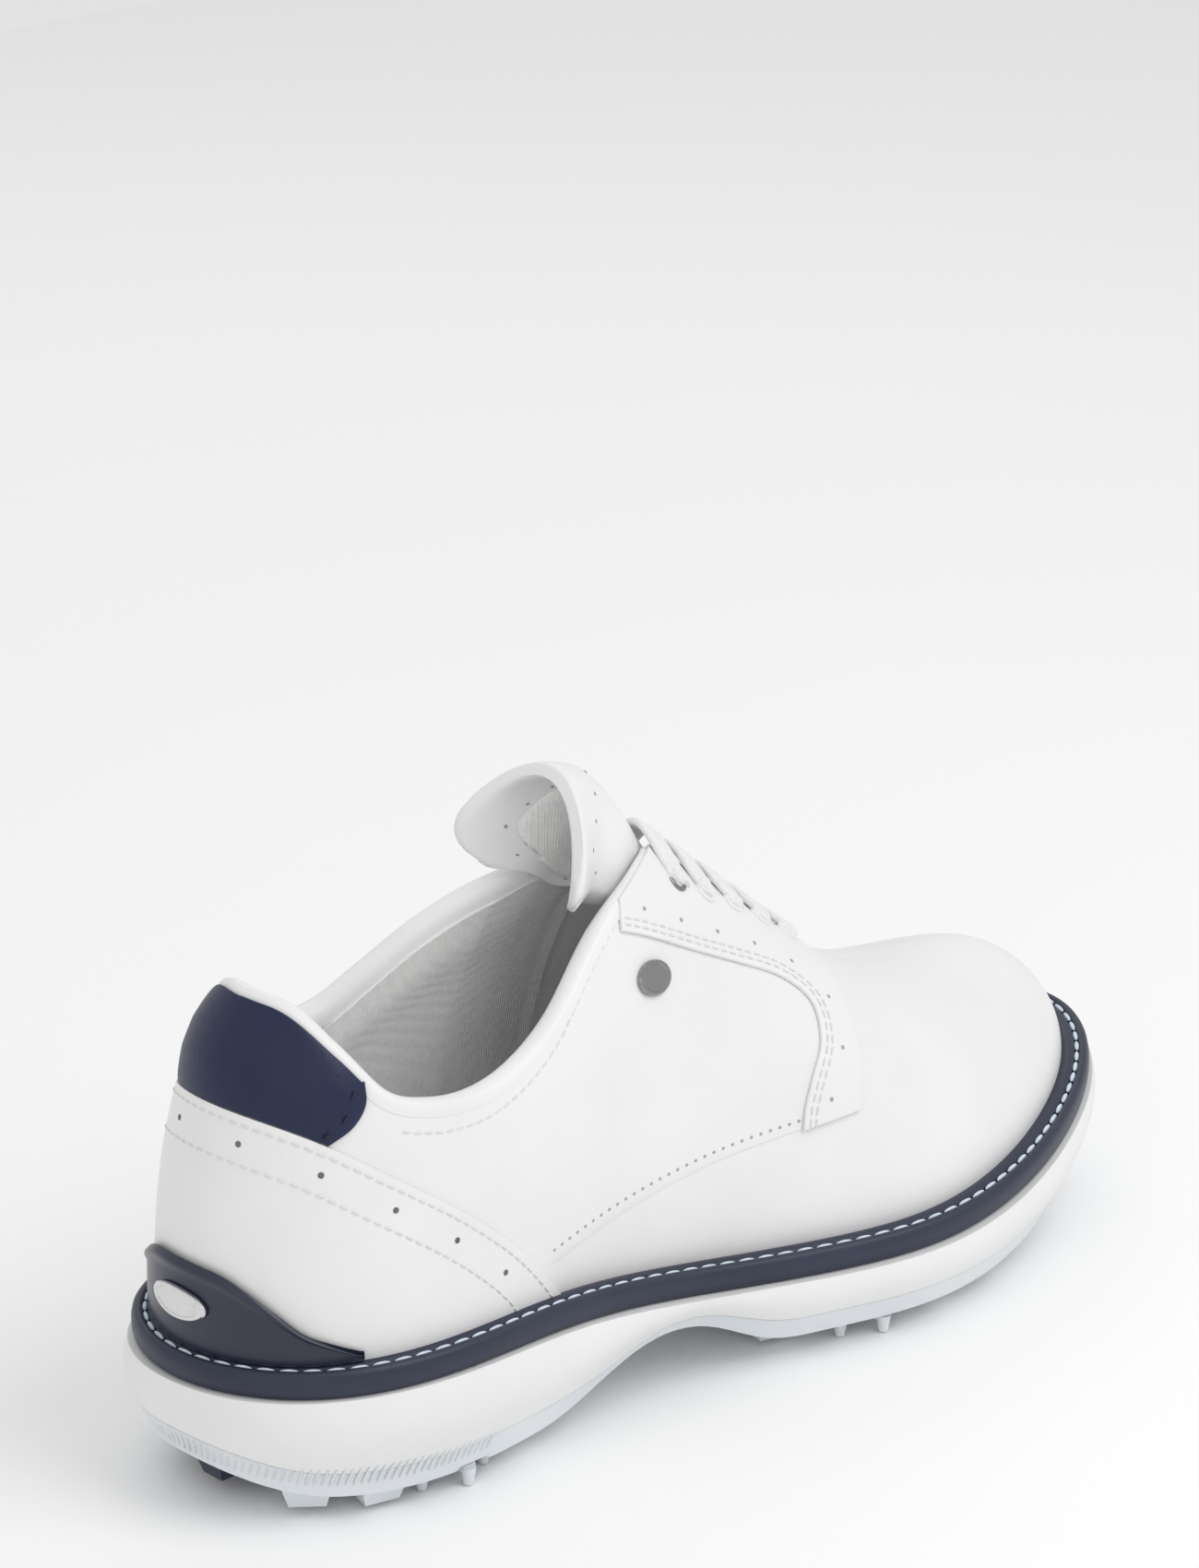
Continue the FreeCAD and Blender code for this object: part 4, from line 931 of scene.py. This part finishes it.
def liningFolds(v, a):
    # soft folds that gather towards a low point near the middle
    angle = np.arctan2(v - 0.45, (a - 0.56) * 1.4)
    reach = np.hypot(v - 0.45, (a - 0.56) * 1.4)
    fade = np.exp(-((reach - 0.16) / 0.13) ** 2)
    return 0.11 * fade * np.cos(angle * 9.0 + 5 * reach) + 0.05 * np.sin(v * 60 + 4 * a)


tongueLeather = tongueShell("tongueLeather", 0.02, 0.985, *tongueShape["sides"], (0.0, 1.0), 0.022)
finishTongue(tongueLeather, ["tongue_base", "tongue_top"], whiteHide)
tongueLining = tongueShell("tongueLining", 0.3, 0.9, 0.13, 0.87, (0.86, 1.28), 0.03, liningFolds)
finishTongue(tongueLining, [], liningCloth)
print("tongue ready")


# rows of stitches, and punched holes shown as discs of painted shade
def moveToward(path, distance, target):
    # move a run sideways, to whichever side lies nearer the target places
    options = [insetPath(path, distance), insetPath(path, -distance)]
    goal = onLast(*np.asarray(target, float).mean(0))
    gaps = [np.linalg.norm(onLast(o[:, 0], o[:, 1]).mean(0) - goal) for o in options]
    return options[int(np.argmin(gaps))]


def downFrom(path, distance):
    options = [insetPath(path, distance), insetPath(path, -distance)]
    return min(options, key=lambda o: onLast(o[:, 0], o[:, 1])[:, 2].mean())


def placesAlong(path, spacing, lift, trim=0.0):
    even, length = evenOnLast(path, 600)
    count = max(int((length - 2 * trim) / spacing), 2)
    f = np.linspace(trim / length, 1 - trim / length, count)
    s = np.interp(f, np.linspace(0, 1, 600), even[:, 0])
    t = np.interp(f, np.linspace(0, 1, 600), even[:, 1])
    points = onLast(s, t, lift)
    normals = lastNormal(s, t)
    along = np.gradient(points, axis=0)
    return [(points[i], along[i], normals[i]) for i in range(count)]


stitch = {"length": 2.3, "width": 0.55, "height": 0.5, "spacing": 2.9}
whiteRows, navyRows, holeSpots, facingHoles, seamDots = [], [], [], [], []
for distance in (2.0, 10.5):
    whiteRows += placesAlong(downFrom(foxingTop, distance), stitch["spacing"], 1.25, trim=3.0)
holeSpots += placesAlong(downFrom(foxingTop, 6.2), 17.5, 1.22, trim=7.0)
for side in (lateral, medial):
    inner, outer = facingEdges[side]
    for distance in (1.6, 3.2):
        whiteRows += placesAlong(moveToward(inner, distance, outer), stitch["spacing"], 1.25, trim=2.0)
    facingHoles += placesAlong(moveToward(inner, 6.5, outer), 11.5, 1.22, trim=8.0)
    s = sRun(side, 40.0, 118.0, 200)
    whiteRows += placesAlong(np.stack([s, topT(side, s) - 0.05], -1), stitch["spacing"], 0.05)
    endRun = fromSide(side, fair(tabLine, 40))
    navyRows += placesAlong(endRun + [[-0.006 if side == lateral else 0.006, 0.004]], 3.1, 2.0, trim=3.2)
for side, path in punches:
    seamDots += placesAlong(path + [[0, 0.018]], 2.6, 0.02, trim=2.0)


def rowPiece(name, places, size, material):
    piece = scatter(name, bead(*size), places)
    return finishPiece(piece, "shoe", [], material)


rowPiece("upperStitches", whiteRows, (stitch["length"], stitch["width"], stitch["height"]),
         threadWhite)
rowPiece("tabStitches", navyRows, (2.4, 0.6, 0.7), threadNavy)
# the broguing discs are painted shade for the depth of the brogue holes
rowPiece("broguing", holeSpots, (1.5, 1.5, 0.3), holeShadeDark)
# the facing and seam punching dots are painted shade for the depth of the punched holes
rowPiece("facingPunching", facingHoles, (1.1, 1.1, 0.26), holeShadeGrey)
rowPiece("seamPunching", seamDots, (0.95, 0.8, 0.24), holeShadeGrey)


def tongueSpots(run, depth):
    run = np.array(run, float)
    run[:, 0] *= roundCorner(run[:, 1], *tongueShape["sides"])
    points = tongueAt(run[:, 0], run[:, 1], depth)
    outward = tongueAt(run[:, 0], run[:, 1], 0.0) - tongueAt(run[:, 0], run[:, 1], 1.0)
    outward = outward if depth < 0.5 else -outward
    along = np.gradient(points, axis=0)
    return [(points[i], along[i], outward[i]) for i in range(len(points))]


def borderRun(inset, low, count):
    # up one side of the tongue, round its top and down the other
    top = 0.985 - inset * 0.7
    side = [(low, inset), (top - 0.05, inset), (top - 0.016, inset + 0.035), (top, inset + 0.1)]
    return resample(np.array(side + [(v, 1 - a) for v, a in side[::-1]]), count)


# the tongue punching dots are painted shade for the depth of the punched holes
for name, run, depth, size, material in [
        ("tonguePunching", borderRun(0.085, 0.5, 17), -0.01, (1.05, 1.05, 0.26), holeShadeGrey),
        ("tongueBandPunching", borderRun(0.07, 0.5, 17), 1.01, (1.0, 1.0, 0.26), holeShadeGrey),
        ("tongueStitches", borderRun(0.108, 0.36, 60), 1.02, (2.1, 0.55, 0.5), threadWhite)]:
    piece = scatter(name, bead(*size), tongueSpots(run, depth))
    finishTongue(piece, [], material)
print("stitching ready")


# laces through the eyelets
laceShape = {"width": 7.4, "thick": 2.0, "lift": 2.7, "crown": 2.9,
             "xs": [147.5, 157.5, 167.5, 177.5, 187.5], "lateral": [-10.5, -9.8, -9.0, -8.3, -7.6],
             "medial": [11.0, 10.8, 10.6, 10.4, 10.2]}


def fromAbove(side, x, y):
    lowT, highT = 0.05, 0.999
    for halving in range(last["halvings"][0]):
        t = (lowT + highT) / 2
        back, front = heelX + 0.5, toeX - 0.5
        for halving in range(last["halvings"][1]):
            foot = (back + front) / 2
            here = archPoint(sAt(side, foot), np.array(t))
            back, front = (foot, front) if here[0] < x else (back, foot)
        lowT, highT = (t, highT) if abs(here[1] - 1.0) > abs(y - 1.0) else (lowT, t)
    return float(sAt(side, foot)), t


def flatCord(name, path, forward, width, thick):
    # a flat woven cord along a path, its width held along the shoe
    path = fair(path, 60)
    along = np.gradient(path, axis=0)
    along /= np.linalg.norm(along, axis=1, keepdims=True)
    wide = np.cross(np.cross(along, forward), along)
    wide /= np.linalg.norm(wide, axis=1, keepdims=True)
    deep = np.cross(along, wide)
    turn = np.linspace(0, 2 * math.pi, 21)
    c, r = np.cos(turn), np.sin(turn)
    c, r = np.sign(c) * np.abs(c) ** 0.5, np.sign(r) * np.abs(r) ** 0.7
    net = (path[:, None] + wide[:, None] * c[None, :, None] * width / 2
           + deep[:, None] * r[None, :, None] * thick / 2)
    close = np.repeat(path[[0, -1]][:, None], 21, 1)
    net = np.concatenate([close[:1], net, close[1:]])
    piece = netPiece(name, net, True)
    normalsOut(piece)
    smooth(piece, 60)
    return piece


eyeletShape = {"outer": 3.3, "bore": 1.9, "base": 1.2, "rise": 0.75, "steps": 40}


def eyeletRing(name, centre, up):
    # a rolled metal ring standing on the facing
    ahead = np.cross(np.array([0.0, 1.0, 0.0]), up)
    ahead /= np.linalg.norm(ahead)
    aside = np.cross(up, ahead)
    turn = np.linspace(0, 2 * math.pi, eyeletShape["steps"] + 1)
    roll = np.linspace(0, 2 * math.pi, 13)
    middle = (eyeletShape["outer"] + eyeletShape["bore"]) / 2
    half = (eyeletShape["outer"] - eyeletShape["bore"]) / 2
    net = np.stack([centre + up * (eyeletShape["base"] + eyeletShape["rise"] * math.sin(r) * 0.5)
                    + (middle + half * math.cos(r))
                    * (np.cos(turn)[:, None] * ahead + np.sin(turn)[:, None] * aside)
                    for r in roll])
    piece = netPiece(name, net, True)
    normalsOut(piece)
    smooth(piece, 60)
    return piece


rings = {lateral: [], medial: []}
cords = []
for i, x in enumerate(laceShape["xs"]):
    ends = []
    for side in (lateral, medial):
        s, t = fromAbove(side, x, laceShape[side][i])
        ends.append((onLast(s, t), lastNormal(np.array(s), np.array(t))))
        rings[side].append(eyeletRing("%sRing%d" % (side, i), *ends[-1]))
    (a, upA), (b, upB) = ends
    inward = (b - a) / np.linalg.norm(b - a)
    middle = (a + b) / 2
    crown = np.array([middle[0], middle[1], float(ridgeHeight(middle[0])) + laceShape["crown"]])
    path = [a - upA * 2.0, a + upA * 1.3, a + upA * laceShape["lift"] + inward * 1.8, crown,
            b + upB * laceShape["lift"] - inward * 1.8, b + upB * 1.3, b - upB * 2.0]
    slope = float(ridgeHeight(x + 4) - ridgeHeight(x - 4)) / 8
    cords.append(flatCord("laceRow%d" % i, np.stack(path), np.array([1.0, 0.0, slope]), laceShape["width"],
                          laceShape["thick"]))
lace = joinPieces("lace", cords)
finishPiece(lace, "shoe", ["lace"], laceCloth)
for side in (lateral, medial):
    finishPiece(rings[side][0], "shoe", [side + "_eyelets"], darkNickel)
    finishPiece(joinPieces(side + "PlainRings", rings[side][1:]), "shoe", [], whiteEnamel)
print("laces ready")


# plain oval plates
badgeShape = {"profile": [(1.0, 0.0), (1.0, 0.55), (0.94, 0.92), (0.84, 1.0), (0.78, 0.96), (0.74, 0.78),
                          (0.4, 0.82), (0.0, 0.84)], "steps": 64}


def ovalPlate(name, place, halfLong, halfTall, rise):
    # a bevelled oval with a sunk face; place turns millimetres along, up and out into a point
    turn = np.linspace(0, 2 * math.pi, badgeShape["steps"] + 1)
    rows = [(0.0, 0.0)] + badgeShape["profile"]
    net = np.stack([place(r * halfLong * np.cos(turn), r * halfTall * np.sin(turn), out * rise)
                    for r, out in rows])
    piece = netPiece(name, net, True)
    normalsOut(piece)
    smooth(piece, 35)
    return piece


badgeS, badgeT = fromAbove(lateral, 128.0, -24.0)
badgeCentre, badgeUp = onLast(badgeS, badgeT, 0.25), lastNormal(np.array(badgeS), np.array(badgeT))
badgeLong = np.cross(badgeUp, np.array([0.0, 0.0, 1.0]))
badgeLong = badgeLong / np.linalg.norm(badgeLong)
badgeTall = np.cross(badgeLong, badgeUp)
sideBadge = ovalPlate("sideBadge",
                      lambda u, w, out: badgeCentre + u[:, None] * badgeLong + w[:, None] * badgeTall
                      + out * badgeUp, 5.4, 4.2, 1.1)
finishPiece(sideBadge, "shoe", ["side_badge"], badgeMetal)

clipShape = {"lift": 2.9, "thickness": 1.2, "ridge": 0.6, "columns": 200, "rows": 30, "reach": 30.0}
s = np.linspace(float(sAt(medial, clipShape["reach"])) - 1.0, float(sAt(lateral, clipShape["reach"])),
                clipShape["columns"])
high = cutT(s, seams["clip"])
v = np.linspace(0, 1, clipShape["rows"])[:, None]
tNet = 0.002 + (np.maximum(high, 0.008)[None] - 0.002) * v
ridgeLift = clipShape["ridge"] * np.exp(-((v - 0.9) / 0.07) ** 2) - 0.5 * np.clip((v - 0.95) / 0.05, 0, 1)
sideways = np.linspace(-1, 1, clipShape["columns"])[None]
ridgeLift = ridgeLift - 0.9 * np.abs(sideways) ** 6  # the two ends thin out onto the foxing
clip = leatherSheet("heelClip", onLast(s[None] + 0 * tNet, tNet, clipShape["lift"] + ridgeLift + 0 * tNet),
                    clipShape["thickness"], 0.4)
finishPiece(clip, "shoe", ["heel_clip"], clipGloss)

heelTurn = {"z": 51.5, "lift": 3.3}
heelT = float(tWhere(np.array([heelS]), lambda p: p[..., 2] - heelTurn["z"])[0])
perS = np.linalg.norm(onLast(heelS + 0.002, heelT) - onLast(heelS - 0.002, heelT)) / 0.004
perT = np.linalg.norm(onLast(heelS, heelT + 0.01) - onLast(heelS, heelT - 0.01)) / 0.02
heelBadge = ovalPlate("heelBadge",
                      lambda u, w, out: onLast(heelS + u / perS, heelT + w / perT, heelTurn["lift"] + out),
                      8.2, 3.8, 1.2)
finishPiece(heelBadge, "shoe", ["heel_badge"], badgeSilver)
print("plates and clip ready")


# welt with its groove and stitches
weltShape = {"columns": 420, "profile": [(-0.6, -0.3), (0.4, 0.15), (1.4, 0.4), (2.5, 0.3), (3.0, -0.1),
                                         (3.25, -0.8), (3.9, -0.8), (4.15, -0.1), (4.6, 0.45), (5.3, 0.6),
                                         (6.0, 0.3), (6.55, -0.5), (6.85, -1.8), (6.85, -3.6), (6.5, -5.2),
                                         (5.6, -6.2), (2.0, -6.3), (-0.6, -6.2)], "stitchSpacing": 5.3,
             "stitchLine": 3.58}


def soleEdge(s, offset, z):
    # a place beside the feather line: offset outwards, at height z above the ground
    along = featherAt(s + 0.0008) - featherAt(s - 0.0008)
    out = np.stack([along[..., 1], -along[..., 0]], -1) * outwardSign
    out /= np.linalg.norm(out, axis=-1, keepdims=True)
    spot = featherAt(s) + out * np.asarray(offset, float)[..., None]
    return np.stack([spot[..., 0], spot[..., 1], np.asarray(z, float) + 0 * spot[..., 0]], -1)


heelWay = featherAt(heelS + 0.0008) - featherAt(heelS - 0.0008)
outwardSign = -1.0 if heelWay[1] > 0 else 1.0  # the back of the heel faces towards negative X
sRound = np.linspace(0, 1, weltShape["columns"] + 1)
edgeHeight = weltTop(featherAt(sRound)[:, 0])
weltNet = np.stack([soleEdge(sRound, np.full(len(sRound), n), edgeHeight + up)
                    for n, up in weltShape["profile"] + weltShape["profile"][:1]])
welt = netPiece("welt", weltNet, True)
normalsOut(welt)
smooth(welt, 50)
finishPiece(welt, "shoe", ["welt"], weltRubber)

line = soleEdge(sRound, np.full(len(sRound), weltShape["stitchLine"]), edgeHeight - 0.25)
run = np.concatenate([[0], np.cumsum(np.linalg.norm(np.diff(line, axis=0), axis=1))])
count = int(run[-1] / weltShape["stitchSpacing"])
where = (np.arange(count) + 0.5) * run[-1] / count
spotsRound = np.stack([np.interp(where, run, line[:, k]) for k in range(3)], -1)
ahead = np.stack([np.interp(np.mod(where + 1.0, run[-1]), run, line[:, k]) for k in range(3)], -1)
weltStitches = scatter("weltStitches", bead(4.5, 1.25, 1.3, 10, 8),
                       [(spotsRound[i], ahead[i] - spotsRound[i], np.array([0.0, 0.0, 1.0]))
                        for i in range(count)])
finishPiece(weltStitches, "shoe", [], threadPale)
print("welt ready")


# fine ribs round the heel of the outsole
ribShape = {"reach": 62.0, "spacing": 1.9, "low": 0.93, "high": 0.70, "lean": 2.4,
            "side": [(0.0, 6.3), (0.12, 6.6), (0.28, 8.2), (0.42, 8.6), (0.58, 7.6), (0.72, 5.6),
                     (0.86, 3.6), (1.0, 2.0)]}


def sideAt(s, down):
    x = featherAt(s)[..., 0]
    offset = np.interp(down, [d for d, o in ribShape["side"]], [o for d, o in ribShape["side"]])
    return soleEdge(s, offset + 0 * x, weltTop(x) + (soleBottom(x) - weltTop(x)) * down)


sHeel = np.linspace(float(sAt(medial, ribShape["reach"])) - 1.0,
                    float(sAt(lateral, ribShape["reach"])), 900)
heelLine = sideAt(sHeel, 0.8)
run = np.concatenate([[0], np.cumsum(np.linalg.norm(np.diff(heelLine, axis=0), axis=1))])
ribPlaces = []
for where in np.arange(2.0, run[-1] - 2.0, ribShape["spacing"]):
    s = np.array([np.interp(where, run, sHeel)])
    shifted = np.array([np.interp(min(where + ribShape["lean"], run[-1]), run, sHeel)])
    low, high = sideAt(s, ribShape["low"])[0], sideAt(shifted, ribShape["high"])[0]
    centre = sideAt((s + shifted) / 2, (ribShape["low"] + ribShape["high"]) / 2)[0]
    out = centre - np.array([60.0, 0.0, centre[2]])
    ribPlaces.append((centre, high - low, out / np.linalg.norm(out)))
ribs = scatter("heelRibs", bead(6.2, 0.8, 0.7, 6, 5), ribPlaces)
finishPiece(ribs, "shoe", [], lugRubber)
print("ribs ready")


# finishes of the pieces that stay as the frame has them
frameFinish = {"outsole": lugRubber, "heel_outsole_pad": navyRubber, "midsole": midsoleFoam,
               "shank": badgeSilver, "insole_board": boardFibre, "sockliner": insoleCloth,
               "vamp_lining": liningCloth, "cleat_sockets": navyRubber}
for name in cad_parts:
    material = lugRubber if name.startswith("cleat_") and name != "cleat_sockets" else frameFinish.get(name)
    if material is None:
        continue
    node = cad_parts[name]
    if not node.material_slots:
        node.data.materials.append(material)
    for slot in node.material_slots:
        slot.material = material
print("frame finishes ready")

# floor, light and camera
deselect()
bpy.ops.mesh.primitive_grid_add(x_subdivisions=24, y_subdivisions=24, size=6.0)
floor = bpy.context.object
floor.name = "studioFloor"
for vertex in floor.data.vertices:
    reach = max(vertex.co.y - 1.2, 0.0)
    vertex.co.z = -0.0003 + reach * reach * 0.6
paper, nodes, links, shader, coordinates = newMaterial("studioPaper")
soft = nodes.new("ShaderNodeTexNoise")
soft.inputs["Scale"].default_value = 3
links.new(coordinates.outputs["Object"], soft.inputs["Vector"])
tone = nodes.new("ShaderNodeValToRGB")
tone.color_ramp.elements[0].color = (0.95, 0.95, 0.95, 1)
tone.color_ramp.elements[1].color = (0.97, 0.97, 0.97, 1)
links.new(soft.outputs["Fac"], tone.inputs["Fac"])
links.new(tone.outputs["Color"], shader.inputs["Base Color"])
shader.inputs["Roughness"].default_value = 0.9
floor.data.materials.append(paper)

studio = {"world": 0.72, "key": 5.5, "fill": 0.8, "rim": 1.0}
world = bpy.data.worlds.new("studioSky")
world.use_nodes = True
world.node_tree.nodes["Background"].inputs["Color"].default_value = (1.0, 1.0, 1.0, 1)
world.node_tree.nodes["Background"].inputs["Strength"].default_value = studio["world"]
bpy.context.scene.world = world


def softBox(name, power, place, aim, size):
    deselect()
    bpy.ops.object.light_add(type="AREA", location=place)
    lamp = bpy.context.object
    lamp.name = name
    lamp.data.energy = power
    lamp.data.shape = "RECTANGLE"
    lamp.data.size, lamp.data.size_y = size
    lamp.rotation_euler = (Vector(aim) - Vector(place)).to_track_quat("-Z", "Y").to_euler()
    return lamp


softBox("keyBox", studio["key"], (0.25, -0.75, 1.05), (0.0, 0.0, 0.05), (0.8, 0.8))
softBox("fillBox", studio["fill"], (-1.0, -0.6, 0.6), (0.0, 0.0, 0.06), (0.9, 0.7))
softBox("rimBox", studio["rim"], (0.5, 0.9, 0.9), (0.0, 0.0, 0.06), (0.8, 0.6))

viewpoint = {"azimuth": -43.5, "elevation": 24.3, "distance": 1.265, "target": (0.001, 0.003, 0.052),
             "lens": 119.65, "shift": (-0.0324, 0.2118)}
azimuth, elevation = math.radians(viewpoint["azimuth"]), math.radians(viewpoint["elevation"])
back = Vector((math.sin(azimuth) * math.cos(elevation), -math.cos(azimuth) * math.cos(elevation),
               math.sin(elevation)))
right = Vector((math.cos(azimuth), math.sin(azimuth), 0))
upward = back.cross(right)
deselect()
bpy.ops.object.camera_add()
camera = bpy.context.object
camera.matrix_world = Matrix.Translation(Vector(viewpoint["target"]) + back
                                         * viewpoint["distance"]) @ Matrix(
    (right, upward, back)).transposed().to_4x4()
camera.data.sensor_fit = "AUTO"
camera.data.sensor_width = 36
camera.data.lens = viewpoint["lens"]
camera.data.shift_x, camera.data.shift_y = viewpoint["shift"]
camera.data.clip_start = 0.05
camera.data.clip_end = 20
bpy.context.scene.camera = camera
bpy.context.scene.view_settings.view_transform = "Standard"

print("scene ready")
